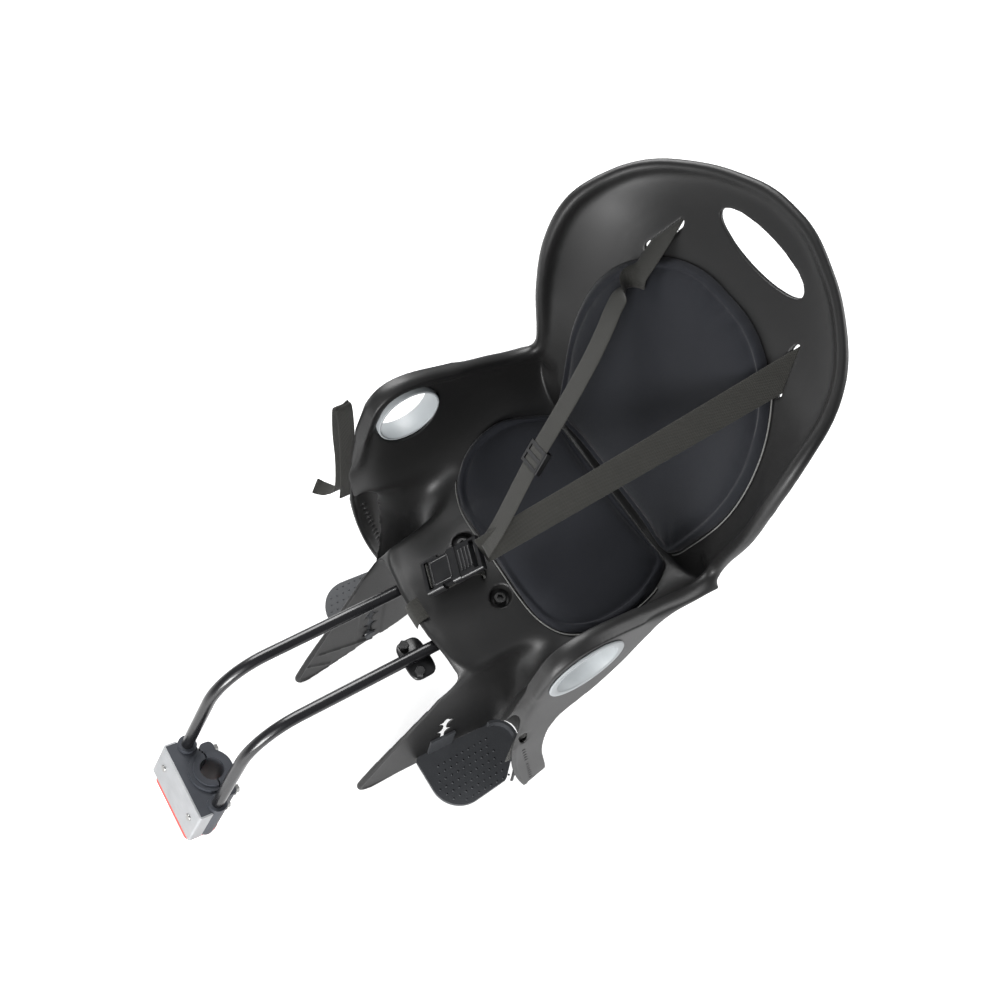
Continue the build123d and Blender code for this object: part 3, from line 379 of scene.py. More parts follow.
def settle(piece):
    """Applies the modifiers of a piece to its mesh."""
    view = bpy.context.evaluated_depsgraph_get()
    piece.data = bpy.data.meshes.new_from_object(piece.evaluated_get(view))
    piece.modifiers.clear()
    piece.data.shade_smooth()


def through(points, count):
    """Smooth curve through points: Catmull-Rom pieces, count samples spread evenly over them."""
    knots = np.asarray(points, float)
    knots = np.concatenate([[2 * knots[0] - knots[1]], knots, [2 * knots[-1] - knots[-2]]])
    place = np.linspace(0, len(knots) - 3, count)
    piece = np.minimum(place.astype(int), len(knots) - 4)
    share = (place - piece)[:, None]
    before, start, end, after = (knots[piece + step] for step in range(4))
    slope = (end - before) * share
    bow = (2 * before - 5 * start + 4 * end - after) * share**2
    swing = (3 * start - before - 3 * end + after) * share**3
    return 0.5 * (2 * start + slope + bow + swing)


def in_seat(points):
    """Millimetres from the seat's datum under the front lip, as metres from the clamp."""
    return np.asarray(points, float) / 1000 + seat_origin


def bead(points, outward, sizes, count):
    """Tube of oval section: half sizes (outward, sideways) in metres, outward made square to the run."""
    path = through(points, count)
    half = through(sizes, count)
    run = np.gradient(path, axis=0)
    run = run / np.linalg.norm(run, axis=1, keepdims=True)
    outward = outward(path) if callable(outward) else np.broadcast_to(outward, path.shape)
    outward = outward - run * np.sum(outward * run, 1, keepdims=True)
    outward = outward / np.linalg.norm(outward, axis=1, keepdims=True)
    turn = circle(20)[None]
    oval = turn[..., :1] * half[:, None, :1] * outward[:, None]
    return path[:, None] + oval + turn[..., 1:] * half[:, None, 1:] * np.cross(run, outward)[:, None]


rim_half = np.array([
    # x, y, z, half width outward, half width along the wall
    (0, 337, 493, 6.5, 6.5), (30, 335.5, 491, 6.5, 6.5), (60, 330, 483, 6.5, 6.5), (96, 320, 470, 6.5, 6.5),
    (138, 299, 448, 7, 7), (164, 274, 422, 7.5, 7.5), (179, 243, 386, 8.5, 8), (183, 231, 330, 9, 8),
    (180, 235, 262, 9, 8), (170, 242, 205, 9, 8), (167, 244, 178, 9, 8), (170, 234, 164, 9.5, 8),
    (174, 205, 162, 10, 8), (175, 161, 173, 10.5, 8), (175, 121, 181, 10.5, 8), (175, 88, 189, 10.5, 8),
    (175, 61, 192, 10.5, 8), (175, 42, 187, 10.5, 8), (175, 30, 175, 10.5, 8), (175, 24, 157, 10.5, 7),
    (176, 16, 125, 9.5, 5), (179, 10, 73, 6, 4), (182, 12, 12, 3.6, 3.6), (183, 25, -66, 3.2, 3.4),
    (183, 45, -142, 3.2, 3.4), (183, 74, -222, 3, 3),
])
rim = np.concatenate([rim_half[::-1], rim_half[1:] * (-1, 1, 1, 1, 1)])
rim_middle = in_seat((0, 150, 250))
rim_grid = bead(in_seat(rim[:, :3]), lambda path: path - rim_middle, rim[:, 3:] / 1000, 900)

lip_points = np.array([(-90, 16, 8), (-78, 6, 11), (-60, -1, 12.4), (-30, -3.5, 12.6), (0, -4, 12.6),
                       (30, -3.5, 12.6), (60, -1, 12.4), (78, 6, 11), (90, 16, 8)])
lip_grid = bead(in_seat(lip_points), (0, -1, 0), np.full((9, 2), lip_half), 120)

# hems along the front edges of the leg shields
hem = np.array([
    # x, y, z, half width across the leg, half width along the wall
    (86.6, -34, -60, 1.6, 1.4), (85.1, -62, -116, 2.8, 2.0), (83.5, -88, -167, 3.8, 2.6),
    (82.4, -106, -205, 4.2, 3.0), (82.0, -110.5, -222, 4.2, 3.2), (82.8, -100, -233, 4.0, 3.0),
    (84.4, -76, -234.5, 3.0, 2.4), (87.0, -34, -231, 1.6, 1.4),
])
hem_grids = [bead(in_seat(hem[:, :3] * (side, 1, 1)), (1, 0, 0), hem[:, 3:] / 1000, 120) for side in (1, -1)]

# webs that close the corners between the arms and the back
web_points = np.array([(136, 257, 157), (152, 252, 160), (169, 245, 163)])
web_grids = [bead(in_seat(web_points * (side, 1, 1)), (0, 0, 1), np.full((3, 2), web_half), 30)
             for side in (1, -1)]

# ribs on the wheel side of the leg shields
rib_ends = [[(-82.7, -80, -180), (-88, 4, -223)], [(-81.6, -97, -197), (-83.9, -62, -226)]]
rib_grids = [bead(in_seat(np.multiply(ends, (side, 1, 1))), (1, 0, 0), np.full((2, 2), rib_half), 24)
             for ends in rib_ends for side in (1, -1)]


def joined(name, pieces):
    """One object from the meshes of several, which are taken away."""
    whole = bmesh.new()
    for piece in pieces:
        whole.from_mesh(piece.data)
        bpy.data.objects.remove(piece)
    mesh = bpy.data.meshes.new(name)
    whole.to_mesh(mesh)
    whole.free()
    made = bpy.data.objects.new(name, mesh)
    scene.collection.objects.link(made)
    return made


# four-pointed holes in the leg shields, in which the footrests are hung; the wall is thinner round them
star_turn = np.arange(8) * math.pi / 4
star_size = np.where(np.arange(8) % 2, star_waist, np.where(np.arange(8) % 4, star_rise, star_tip))
star = np.stack([star_size * np.cos(star_turn), star_size * np.sin(star_turn)], -1)


def leg_prism(side, shape, depth):
    """Closed prism of a flat shape (along the leg's wall, up), from star_depth inside the wall's inner face
    to a depth beyond it."""
    along = np.array((side * math.sin(leg_splay), math.cos(leg_splay), 0))
    outward = np.array((side * math.cos(leg_splay), -math.sin(leg_splay), 0))
    face = (side * leg_half_gap, 0, 0) + shape[:, :1] * along + shape[:, 1:] * (0, 0, 1)
    ends = np.stack([face - star_depth * outward, face + depth * outward])
    return skin("prism", capped(in_seat(ends)), round_v=True)


pockets = joined("pockets", [leg_prism(side, np.array(star_pocket), leg_wall - star_web) for side in (1, -1)])
stars = joined("stars", [leg_prism(side, star + (star_place, level), star_depth)
                         for side in (1, -1) for level in star_levels])


def carved(piece, cutter):
    """Takes a cutter's shapes out of a piece, and the cutter away."""
    hole = piece.modifiers.new("hole", "BOOLEAN")
    hole.object = cutter
    hole.operation = "DIFFERENCE"
    hole.use_self = True
    settle(piece)
    bpy.data.objects.remove(cutter)


cad_copy = merged_copy("shell_copy", "shell")
carved(cad_copy, pockets)
carved(cad_copy, stars)
added = [rim_grid, lip_grid] + rib_grids + web_grids + hem_grids
shell = joined("shell_moulding", [cad_copy] + [skin("bead", capped(grid), round_v=True) for grid in added])
fuse = shell.modifiers.new("fuse", "REMESH")
fuse.mode = "VOXEL"
fuse.voxel_size = shell_voxel
settle(shell)


def soften(piece, lines, reach, fade, steps):
    """Smooths a piece within reach millimetres of some lines, and less over the last fade millimetres.
    Each point's gap is that to the nearest spot of any line."""
    places = np.zeros(len(piece.data.vertices) * 3, np.float32)
    piece.data.vertices.foreach_get("co", places)
    places = (places.reshape(-1, 3) - seat_origin) * 1000
    gap = np.full(len(places), np.inf)
    for start, end in lines:
        run = np.subtract(end, start)
        share = np.clip((places - start) @ run / (run @ run), 0, 1)
        gap = np.minimum(gap, np.linalg.norm(places - start - share[:, None] * run, axis=1))
    weight = np.clip((reach - gap) / fade, 0, 1)
    zone = piece.vertex_groups.new(name="zone")
    for level in np.linspace(0.1, 1.0, 10):
        zone.add(np.flatnonzero(np.abs(weight - level) <= 0.05).tolist(), level, "REPLACE")
    smooth = piece.modifiers.new("soft", "SMOOTH")
    smooth.vertex_group = "zone"
    smooth.factor = 0.5
    smooth.iterations = steps
    settle(piece)
    piece.vertex_groups.clear()


# the rim runs into the walls, and the pan into the leg troughs, in soft sweeps
head_half = rim_half[:arm_first + 1, :3]
head_spots = through(np.concatenate([head_half[::-1], head_half[1:] * (-1, 1, 1)]), 80)
soften(shell, list(zip(head_spots[:-1], head_spots[1:])), rim_reach, rim_fade, rim_steps)
arm_spots = through(rim_half[arm_first:arm_last, :3], 24)
arm_edges = list(zip(arm_spots[:-1], arm_spots[1:]))
arm_edges += [(start * (-1, 1, 1), end * (-1, 1, 1)) for start, end in arm_edges]
lip_edges = list(zip(lip_points[:-1], lip_points[1:]))
soften(shell, lip_edges + arm_edges, edge_reach, edge_fade, edge_steps)
front_lines = [((side * 179, 10, 52), (side * 176, 16, 106)) for side in (1, -1)]
soften(shell, front_lines, front_reach, front_fade, rim_steps)
mouth_lines = [((side * 80, 0, 8), (side * 124, 92, 46)) for side in (1, -1)]
mouth_lines += [((side * 160, 4, 30), (side * 138, 84, 48)) for side in (1, -1)]
soften(shell, mouth_lines, mouth_reach, mouth_fade, mouth_steps)
ease = shell.modifiers.new("ease", "SMOOTH")
ease.factor = 0.5
ease.iterations = shell_ease
thin = shell.modifiers.new("thin", "DECIMATE")
thin.ratio = shell_share
settle(shell)
handle_ring = circle(72) * handle_size
handle_face = np.stack([handle_ring[:, 0], 0 * handle_ring[:, 0], handle_level + handle_ring[:, 1]], -1)
handle_ends = np.stack([handle_face + (0, depth, 0) for depth in handle_depth])
carved(shell, skin("handle", capped(in_seat(handle_ends)), round_v=True))

satin, satin_shader, satin_place = finish("shell_satin", Specular_IOR_Level=0.42)
satin_cloud = satin_place.noise(9.0, 4.0)
satin_grain = satin_place.noise(1300.0, 2.0)
feed(satin_shader,
     Base_Color=satin_cloud.blend((0.0085, 0.0085, 0.0088, 1), (0.0135, 0.0132, 0.0128, 1)),
     Roughness=satin_cloud * 0.14 + 0.36,
     Normal=satin_grain.bump(0.12, 0.0005))
shell.data.materials.append(satin)
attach(shell, "seat")
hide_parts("shell")
dress("bar_clamp", nylon)
screw_black, screw_shader, screw_place = finish("screw_black_zinc", Metallic=1.0)
screw_cloud = screw_place.noise(300.0)
feed(screw_shader,
     Base_Color=screw_cloud.blend((0.05, 0.05, 0.05, 1), (0.10, 0.10, 0.10, 1)),
     Roughness=screw_cloud * 0.2 + 0.35)
dress("seat_screws", screw_black)

# Pads: foam cut to shape, laminated with dark blue knit and rolled at the edge. One lies on the pan and one
# on the back, held by the shape of the shell and by the straps over them.
pad_cap = 0.0025
pad_pressure = 4.0
pad_frames = 20
pad_ease = 4
pad_height = 13.0
pad_under = 0.6
pad_columns = 168
edge_inward = np.array((0.0, 0.3, 1.2, 2.8, 5.0, 7.2, 8.8, 10.0, 11.2, 13.5, 17.0, 22.0, 30.0))
edge_height = np.array((0.8, 3.2, 5.8, 7.8, 8.8, 8.2, 7.0, 6.4, 7.0, 8.8, 10.4, 11.8, 12.7))
inner_share = np.array((0.85, 0.70, 0.55, 0.40, 0.25, 0.12))
seat_pad_half = [(0, 91), (35, 92), (62, 96), (88, 103), (110, 112), (128, 126), (139, 143), (143, 165),
                 (142, 190), (135, 215), (122, 238), (108, 247), (60, 247)]
back_pad_half = [(0, 399), (30, 398), (60, 390), (86, 376), (110, 354), (131, 322), (142, 275), (141, 218),
                 (126, 150), (116, 118), (104, 107), (60, 104)]
child_middle = in_seat((0, 90, 330))


def cover(half, middle, axes, start):
    """Rings of a pad's cover, laid on the shell: the outline, rings at set ways inward from it, then shares
    of the way to the middle; dropped along the third axis from the start level. Gives the rings and their
    normals, which point to the child."""
    half = np.array(half, float)
    outline = through(np.concatenate([half, half[:0:-1] * (-1, 1), half[:1]]), pad_columns + 1)[:-1]
    inward = np.array(middle) - outline
    inward = inward / np.linalg.norm(inward, axis=1, keepdims=True)
    rings = outline + inward * edge_inward[:, None, None]
    rings = np.concatenate([rings, middle + (rings[-1] - middle) * inner_share[:, None, None]])
    points = np.full(rings.shape[:2] + (3,), float(start))
    points[..., list(axes)] = rings
    mesh = bpy.data.meshes.new("sheet")
    mesh.from_pydata(in_seat(points).reshape(-1, 3), [], [])
    sheet = bpy.data.objects.new("sheet", mesh)
    scene.collection.objects.link(sheet)
    drop = sheet.modifiers.new("drop", "SHRINKWRAP")
    drop.target = shell
    drop.wrap_method = "PROJECT"
    drop.use_project_y = axes == (0, 2)
    drop.use_project_z = axes == (0, 1)
    drop.use_positive_direction = axes == (0, 2)
    drop.use_negative_direction = axes == (0, 1)
    settle(sheet)
    laid = np.zeros(points.size, np.float32)
    sheet.data.vertices.foreach_get("co", laid)
    bpy.data.objects.remove(sheet)
    laid = laid.reshape(points.shape).astype(float)
    for step in range(pad_ease):
        level = 0.25 * (np.roll(laid, 1, 1) + np.roll(laid, -1, 1)) + 0.5 * laid
        level[1:-1] = 0.25 * (level[:-2] + level[2:]) + 0.5 * level[1:-1]
        laid = level
    normal = np.cross(np.roll(laid, -1, 1) - np.roll(laid, 1, 1), np.gradient(laid, axis=0))
    normal = normal / np.linalg.norm(normal, axis=2, keepdims=True)
    return laid, normal * np.sign(np.sum(normal * (child_middle - laid), 2, keepdims=True))


def stuffed(name, laid, normal):
    """Pad over laid rings: a rolled edge, a groove inside it and a full middle, closed beneath and blown up
    by cloth under pressure, with no point moved further than the cap."""
    height = np.concatenate([edge_height, np.full(len(inner_share), pad_height)]) / 1000
    top = laid + normal * height[:, None, None]
    under = laid + normal * pad_under / 1000
    piece = skin(name, capped(np.concatenate([top[::-1], under])), round_v=True)
    rest = np.zeros(len(piece.data.vertices) * 3, np.float32)
    piece.data.vertices.foreach_get("co", rest)
    air = piece.modifiers.new("air", "CLOTH")
    air.settings.use_pressure = True
    air.settings.uniform_pressure_force = pad_pressure
    air.settings.effector_weights.gravity = 0.0
    for step in range(1, pad_frames + 1):
        scene.frame_set(step)
    settle(piece)
    blown = np.zeros_like(rest)
    piece.data.vertices.foreach_get("co", blown)
    move = (blown - rest).reshape(-1, 3)
    size = np.linalg.norm(move, axis=1, keepdims=True)
    move = move * np.minimum(1, pad_cap / np.maximum(size, 1e-9))
    piece.data.vertices.foreach_set("co", (rest.reshape(-1, 3) + move).astype(np.float32).ravel())
    scene.frame_set(1)
    fine = piece.modifiers.new("fine", "SUBSURF")
    fine.levels = fine.render_levels = 1
    settle(piece)
    return piece


knit, knit_shader, knit_place = finish(
    "pad_knit", Sheen_Weight=0.18, Sheen_Roughness=0.45, Specular_IOR_Level=0.25)
knit_x, knit_y, knit_z = knit_place.axes()
knit_rows = knit_x.wave(0.0016) * (knit_y + knit_z).wave(0.0013)
knit_cloud = knit_place.noise(14.0)
knit_fuzz = knit_place.noise(2400.0, 2.0)
feed(knit_shader,
     Base_Color=knit_cloud.blend((0.0072, 0.0081, 0.0115, 1), (0.0108, 0.0121, 0.0165, 1)),
     Roughness=knit_fuzz * 0.15 + 0.72,
     Normal=(knit_rows * 0.5 + knit_fuzz).bump(0.35, 0.0005))
# light grey line on the pads' edges: partly piping, partly a painted highlight on the lit rolled edge
piping_and_painted_highlight, piping_highlight_shader, piping_highlight_place = finish("piping_and_painted_highlight", Specular_IOR_Level=0.3)
piping_highlight_cloud = piping_highlight_place.noise(400.0)
feed(piping_highlight_shader,
     Base_Color=piping_highlight_cloud.blend((0.10, 0.10, 0.095, 1), (0.26, 0.26, 0.25, 1)),
     Roughness=piping_highlight_cloud * 0.2 + 0.6)
piping_radius, piping_lift, piping_gap = 0.0008, 0.0016, 0.0004
pad_table = [
    # node, outline, middle, axes of the outline, level it is dropped from, columns that show the piping with
    # its painted highlight
    ("seat_pad", seat_pad_half, (0.0, 172.0), (0, 1), 190.0, np.arange(-28, 62)),
    ("back_pad", back_pad_half, (0.0, 255.0), (0, 2), 130.0, np.arange(24, 70)),
]
for pad_node, half, middle, axes, start, shown in pad_table:
    laid, normal = cover(half, middle, axes, start)
    pad = stuffed(pad_node + "_cover", laid, normal)
    pad.data.materials.append(knit)
    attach(pad, "seat")
    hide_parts(pad_node)
    # light grey piping where the cover is glued to its backing, drawn only where light catches the edge:
    # partly the piping's own colour, partly a painted highlight
    outside = laid[0] - laid[3]
    outside = outside / np.linalg.norm(outside, axis=1, keepdims=True)
    line = laid[0] + normal[0] * piping_lift + outside * piping_gap
    piping_highlight_grid = carried(line[shown], normal[0][shown], piping_radius * circle(8))
    piping_highlight = skin(pad_node + "_piping", capped(piping_highlight_grid), round_v=True)
    piping_highlight.data.materials.append(piping_and_painted_highlight)
    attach(piping_highlight, "seat")

# Grip rings: round sleeves in light grey plastic, pushed through the arms from outside up to their flange.
# A child holds on to them, and the wind passes through.
ring_middle = (68.0, 147.0)
ring_radius = 36.0
ring_profile = np.array([
    # beyond the opening, across the seat
    (0.0, 163.5), (0.4, 162.4), (1.5, 162.0), (2.6, 162.4), (3.0, 163.5), (3.0, 184.6), (3.6, 185.1),
    (8.0, 185.1), (8.8, 185.5), (9.0, 186.3), (8.6, 187.1), (7.6, 187.5), (1.6, 187.5), (0.6, 187.1),
    (0.0, 186.2),
])
ring_plastic, ring_shader, ring_place = finish("ring_plastic", Specular_IOR_Level=0.5)
ring_cloud = ring_place.noise(45.0)
feed(ring_shader,
     Base_Color=ring_cloud.blend((0.29, 0.31, 0.32, 1), (0.37, 0.39, 0.40, 1)),
     Roughness=ring_cloud * 0.2 + 0.34,
     Normal=ring_place.noise(1000.0, 2.0).bump(0.12, 0.0005))
ring_turn = circle(96)
for side, hand in ((1, "right"), (-1, "left")):
    ring_reach = ring_radius + ring_profile[None, :, 0]
    ring_grid = np.stack([
        np.broadcast_to(side * ring_profile[:, 1], (len(ring_turn), len(ring_profile))),
        ring_middle[0] + ring_reach * ring_turn[:, :1],
        ring_middle[1] + ring_reach * ring_turn[:, 1:],
    ], -1)
    ring = skin("grip_ring_" + hand + "_sleeve", in_seat(ring_grid), round_u=True, round_v=True)
    ring.data.materials.append(ring_plastic)
    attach(ring, "seat")
    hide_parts("grip_ring_" + hand)

# Footrests: platforms in dark grey plastic that slide up a row of star holes in the leg shields.
# Their tops are studded with small domes for grip.
foot_plastic, foot_shader, foot_place = finish("footrest_plastic", Specular_IOR_Level=0.4)
foot_cloud = foot_place.noise(40.0)
feed(foot_shader,
     Base_Color=foot_cloud.blend((0.042, 0.044, 0.048, 1), (0.058, 0.061, 0.066, 1)),
     Roughness=foot_cloud * 0.16 + 0.50,
     Normal=foot_place.noise(900.0, 2.0).bump(0.25, 0.0006))
stud_radius, stud_height, stud_sink, stud_pitch, stud_level = 1.5, 0.9, 0.15, 9.0, -205.0
stud_rings, stud_sides = 4, 10
tread_middle, tread_half = (138.0, 2.0), 34.0
tread_side, tread_front, tread_back = 104.0, -30.0, 56.0
stud_columns = np.arange(tread_side, tread_side + 2 * tread_half, stud_pitch)
stud_rows = np.arange(tread_front, tread_back, stud_pitch)
stud_x, stud_y = np.meshgrid(stud_columns, stud_rows, indexing="ij")
stud_y = stud_y + 0.5 * stud_pitch * (np.arange(len(stud_x))[:, None] % 2)
stud_spots = np.stack([stud_x, stud_y, np.full_like(stud_x, stud_level)], -1).reshape(-1, 3)
# the tread is straight behind its middle and half round in front of it
from_middle = stud_spots[:, :2] - tread_middle
on_tread = from_middle[:, 0] ** 2 + np.minimum(from_middle[:, 1], 0) ** 2 < tread_half**2
stud_spots = stud_spots[on_tread & (stud_spots[:, 1] < tread_back)]
stud_bow = np.linspace(0, math.pi / 2, stud_rings)[:, None]
stud_round = circle(stud_sides)
stud = np.stack([
    stud_radius * np.cos(stud_bow) * stud_round[:, 0],
    stud_radius * np.cos(stud_bow) * stud_round[:, 1],
    stud_height * np.sin(stud_bow) + 0 * stud_round[:, 0] - stud_sink,
], -1)
cells = np.arange(stud_rings * stud_sides).reshape(stud_rings, stud_sides)
cells = np.concatenate([cells, cells[:, :1]], 1)
cells = np.stack([cells[:-1, :-1], cells[1:, :-1], cells[1:, 1:], cells[:-1, 1:]], -1).reshape(-1, 4)
for side, hand in ((1, "right"), (-1, "left")):
    dress("footrest_" + hand, foot_plastic)
    stud_grid = in_seat((stud_spots[:, None, None] + stud) * (side, 1, 1))
    faces = (np.arange(len(stud_spots))[:, None, None] * stud_rings * stud_sides + cells).reshape(-1, 4)
    studs_mesh = bpy.data.meshes.new("footrest_studs_" + hand)
    studs_mesh.from_pydata(stud_grid.reshape(-1, 3), [], faces if side < 0 else faces[:, ::-1])
    studs_mesh.shade_smooth()
    studs = bpy.data.objects.new("footrest_studs_" + hand, studs_mesh)
    scene.collection.objects.link(studs)
    studs.data.materials.append(foot_plastic)
    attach(studs, "footrest_" + hand)

# Shoulder straps: flat woven polyester, 30 mm wide, from the buckle through slots in the back to keepers
# behind it. The left one is turned over near its slot and carries the ladder slider.
webbing_width = 0.030
webbing_thickness = 0.0016
buckle_low = in_seat((-19.0, 17.0, 42.0))
buckle_high = in_seat((0.0, 70.0, 93.0))
slot_place = in_seat((95.0, 296.0, 387.0))
slot_slant = math.radians(40.0)
keeper_reach = 0.058
strap_bow = 0.003
left_start, left_twist, twist_half = 0.006, 0.330, 0.022
slack_window = 15


def band(name, path, across, width):
    """Webbing along a path: a flat profile with full round edges, a circle's sine and cosine to small powers.
    The place across and along it is kept for the weave."""
    turn = circle(28)
    flat = np.sign(turn) * np.abs(turn) ** np.array((0.35, 0.75)) * (width / 2, webbing_thickness / 2)
    grid = carried(path, across, flat)
    step = np.linalg.norm(np.diff(path, axis=0), axis=1)
    along = np.concatenate([[0], np.cumsum(step)])
    weave = np.zeros(grid.shape)
    weave[..., 0] = flat[None, :, 0]
    weave[..., 1] = along[:, None]
    ends = np.concatenate([weave[:1], weave, weave[-1:]])
    return skin(name, capped(grid), round_v=True, weave=ends)


webbing, webbing_shader, webbing_place = finish("webbing_weave", Specular_IOR_Level=0.3, Sheen_Weight=0.1)
weave = webbing_place.node("Attribute", {"attribute_name": "weave"}, {}, out="Vector")
weave_across, weave_along = weave.axes()[:2]
weave_rib = weave_along.wave(0.0024)
weave_warp = weave_across.wave(0.0019)
weave_height = weave_rib * weave_warp
# painted shade in the weave: its low places are darker and its raised threads lighter, mixed with noise for a
# random tone
weave_shade = weave_height * 0.5 + 0.5
weave_fuzz = webbing_place.noise(1800.0, 2.0)
weave_shade_and_tone = weave_shade * 0.7 + webbing_place.noise(30.0) * 0.3
feed(webbing_shader,
     Base_Color=weave_shade_and_tone.blend((0.010, 0.010, 0.0085, 1), (0.034, 0.033, 0.028, 1)),
     Roughness=weave_fuzz * 0.2 + 0.62,
     Normal=(weave_height + weave_fuzz * 0.6).bump(0.6, 0.0005))

# the left strap hangs slack: way from the buckle, off the straight line sideways, and out over the right one
left_course = np.array([
    (5, -6, 2.8), (22, -9, 2.8), (40, -10, 2.8), (60, -9, 2.6), (82, -6, 1.5), (105, -3, 0.4),
    (128, -1.5, 0), (170, -3, 0), (208, -3, 0), (247, -1, 0), (282, 5, 0), (300, 11, 0),
    (325, 11, 0), (345, 2, 0), (386, 0, 0), (450, 0, 0),
]) / 1000


def shoulder(side, start, twist):
    """Path and across direction of a strap from start metres past the buckle: a straight run to the slot
    with a sine's bow, and at the twist half a turn eased by a sine."""
    mirror = np.array((side, 1, 1))
    run = slot_place - buckle_high
    length = np.linalg.norm(run)
    run = run / length
    across = np.array((math.cos(slot_slant), 0, -math.sin(slot_slant)))
    across = across - run * np.dot(across, run)
    across = across / np.linalg.norm(across)
    normal = np.cross(run, across)
    place = np.linspace(start, length + keeper_reach, 150)
    share = np.clip((place - start) / (length - start), 0, 1)
    path = buckle_high + place[:, None] * run - np.sin(np.pi * share)[:, None] * normal * strap_bow
    turn = 0 * place
    if twist:
        even = np.hanning(slack_window) / np.sum(np.hanning(slack_window))
        slack = [np.interp(place, left_course[:, 0], row) for row in left_course[:, 1:].T]
        aside, over = (np.convolve(np.pad(row, slack_window // 2, "edge"), even, "valid") for row in slack)
        path = path + aside[:, None] * across - over[:, None] * normal
        turn = np.pi * np.clip((place - twist + twist_half) / (2 * twist_half), 0, 1)
    turn = turn - np.sin(2 * turn) / 2
    across = np.cos(turn)[:, None] * across + np.sin(turn)[:, None] * normal
    return path * mirror, across * mirror


strap_path, strap_across = shoulder(1, 0.0, 0.0)
strap_right = band("shoulder_strap_right_webbing", strap_path, strap_across, webbing_width)
strap_path, strap_across = shoulder(-1, left_start, left_twist)
strap_left = band("shoulder_strap_left_webbing", strap_path, strap_across, webbing_width)
for strap, strap_node in ((strap_right, "shoulder_strap_right"), (strap_left, "shoulder_strap_left")):
    strap.data.materials.append(webbing)
    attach(strap, "seat")
    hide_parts(strap_node)

# Buckle, ladder slider and keepers: glossy black acetal, moulded; the socket hangs on the crotch strap,
# the tongue on the shoulder straps.
buckle_plastic, buckle_shader, buckle_place = finish("buckle_plastic", Specular_IOR_Level=0.5)
buckle_cloud = buckle_place.noise(60.0)
feed(buckle_shader,
     Base_Color=buckle_cloud.blend((0.006, 0.006, 0.0065, 1), (0.012, 0.012, 0.0125, 1)),
     Roughness=buckle_cloud * 0.15 + 0.24,
     Normal=buckle_place.noise(1200.0, 2.0).bump(0.08, 0.0004))
for fitting in ("buckle_socket", "buckle_tongue", "strap_slider", "strap_keepers"):
    dress(fitting, buckle_plastic)

# Crotch strap: the same woven polyester, which comes up through a slot in the pan and runs forward
# round the socket's bar.
socket_bar = 0.007
crotch_start = in_seat((0.0, 77.0, 62.0))
crotch_run = (buckle_low - crotch_start) * (1, 1, 0)
crotch_run = crotch_run / np.linalg.norm(crotch_run)
up = np.array((0.0, 0.0, 1.0))
buckle_run = (buckle_high - buckle_low) / np.linalg.norm(buckle_high - buckle_low)
crotch_across = np.cross(crotch_run, -up)
socket_across = crotch_across - buckle_run * np.dot(crotch_across, buckle_run)
socket_normal = np.cross(socket_across, buckle_run)
socket_normal = socket_normal / np.linalg.norm(socket_normal)
bar_middle = buckle_low + buckle_run * socket_bar
crotch_points = [
    crotch_start - up * 0.026,
    crotch_start - up * 0.010,
    crotch_start + crotch_run * 0.003 - up * 0.002,
    crotch_start + crotch_run * 0.016,
    bar_middle - socket_normal * 0.014,
    bar_middle - socket_normal * 0.004,
    bar_middle + socket_normal * 0.0065,
]
crotch_path = through(crotch_points, 60)
crotch_sides = np.broadcast_to(crotch_across, crotch_path.shape)
crotch = band("crotch_strap_webbing", crotch_path, crotch_sides, webbing_width)
crotch.data.materials.append(webbing)
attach(crotch, "seat")
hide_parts("crotch_strap")

# Buckle mouldings: grip ridges across the tongue and a raised frame on the socket's lid.
# They are part of the same mouldings, in the buckle's own plastic.
ridge_half, ridge_size, ridge_level = 0.013, 0.0013, 0.0052
ridge_ways = (0.050, 0.0545, 0.059, 0.0635)
frame_level, frame_size = 0.0063, 0.0011
frame_corners = np.array([(-14, 12), (14, 12), (14, 36), (-14, 36), (-14, 12)]) / 1000
buckle_side = socket_across / np.linalg.norm(socket_across)
ridge_line = np.array((-1, 0, 1))[:, None] * ridge_half * buckle_side + socket_normal * ridge_level
ridge_lines = [buckle_low + buckle_run * way + ridge_line for way in ridge_ways]
ridge_grids = [bead(line, socket_normal, np.full((3, 2), ridge_size), 16) for line in ridge_lines]
frame_line = buckle_low + socket_normal * frame_level
frame_line = frame_line + frame_corners[:, :1] * buckle_side + frame_corners[:, 1:] * buckle_run
ridge_grids += [bead(np.stack(ends), socket_normal, np.full((2, 2), frame_size), 16)
                for ends in zip(frame_line[:-1], frame_line[1:])]
ridges = joined("buckle_ridges", [skin("ridge", capped(grid), round_v=True) for grid in ridge_grids])
ridges.data.materials.append(buckle_plastic)
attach(ridges, "seat")

# Lip patch: a short piece of webbing, laid over the front lip between the bars.
# It is fixed to the lip flat, like a tab.
patch_width = 0.028
patch_points = [(0, 3, 21.6), (0, -1, 20.4), (0, -5, 18.8), (0, -8.6, 16), (0, -10.2, 12), (0, -10.6, 7),
                (0, -10.4, 3)]
patch_path = through(in_seat(patch_points), 50)
patch_sides = np.broadcast_to(np.array((1.0, 0.0, 0.0)), patch_path.shape)
patch = band("lip_patch_webbing", patch_path, patch_sides, patch_width)
patch.data.materials.append(webbing)
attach(patch, "seat")

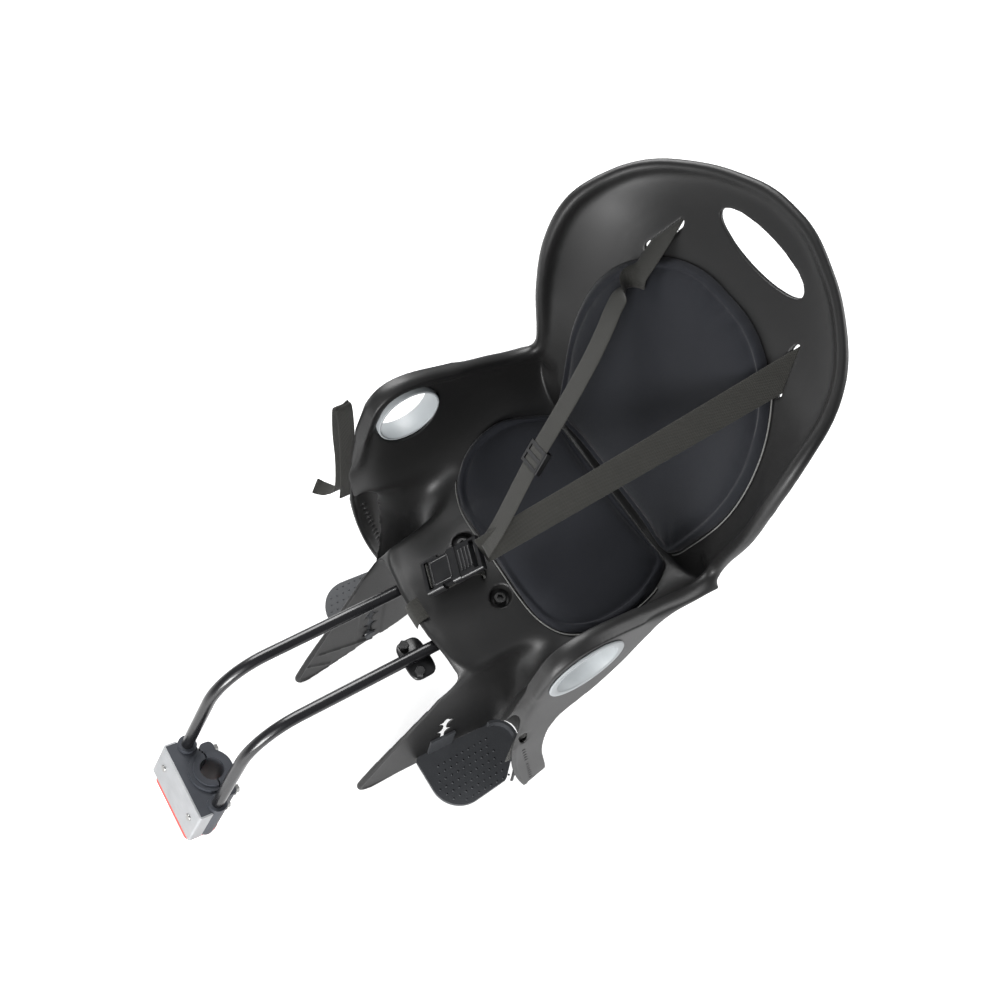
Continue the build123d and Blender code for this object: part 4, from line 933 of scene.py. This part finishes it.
# Bar stop: a moulded saddle under the right prong, just in front of the lip, in black acetal.
# Two bolts with hexagon nuts, one on each side of the prong, hold it.
stop_middle, stop_half, stop_corner = (40.0, -27.0), (25.0, 16.0), 0.5
stop_rows = np.array([(0.90, -12.5), (1.0, -11.5), (1.0, -8.5), (0.93, -7.6)])
nut_spots = [(22.0, -33.0, 0.0), (58.0, -33.0, 0.0)]
nut_rows = np.array([(6.2, -8.0), (6.2, -1.0), (5.6, 0.0)])


def stacked(outline, rows):
    """Flat outline repeated at each row's level, drawn to the row's share of its size."""
    return np.stack([
        rows[:, :1] * outline[:, 0],
        rows[:, :1] * outline[:, 1],
        rows[:, 1:] + 0 * outline[:, 0],
    ], -1)


stop_turn = circle(48)
stop_outline = np.sign(stop_turn) * np.abs(stop_turn) ** stop_corner * stop_half
stop_grid = stacked(stop_outline, stop_rows) + (*stop_middle, 0.0)
nut_grids = [stacked(circle(6), nut_rows) + spot for spot in nut_spots]
stop_pieces = [skin("block", capped(in_seat(grid)), round_v=True) for grid in [stop_grid] + nut_grids]
for nut_piece in stop_pieces[1:]:
    nut_piece.data.shade_flat()
stop = joined("bar_stop", stop_pieces)
stop.data.materials.append(buckle_plastic)
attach(stop, "seat")

# Foot straps: 20 mm webbing that would hold a foot to its rest. The left one is pulled up outside the arm
# and folded over; the right one hangs inside its band.
foot_webbing = 0.020
foot_left_points = [(-186.4, 9, -8), (-186.6, 9, 20), (-187.5, 8, 60), (-192, 6, 120), (-196, 4, 154),
                    (-199.5, 3, 159.5), (-202.5, 2, 154), (-202.5, 4, 110), (-201, 8, 62), (-200.5, 10, 20),
                    (-201.5, 10, -8), (-206, 8, -22), (-214, 2, -29), (-222, -6, -30), (-228, -12, -28)]
foot_right_points = [(179.6, 24, 40), (179.4, 24, 0), (179.2, 24, -34), (179.8, 24, -66)]
for hand, points in (("left", foot_left_points), ("right", foot_right_points)):
    foot_path = through(in_seat(points), 110)
    foot_sides = np.broadcast_to(np.array((0.0, 1.0, 0.0)), foot_path.shape)
    foot_strap = band("foot_strap_" + hand + "_webbing", foot_path, foot_sides, foot_webbing)
    foot_strap.data.materials.append(webbing)
    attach(foot_strap, "seat")
    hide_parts("foot_strap_" + hand)
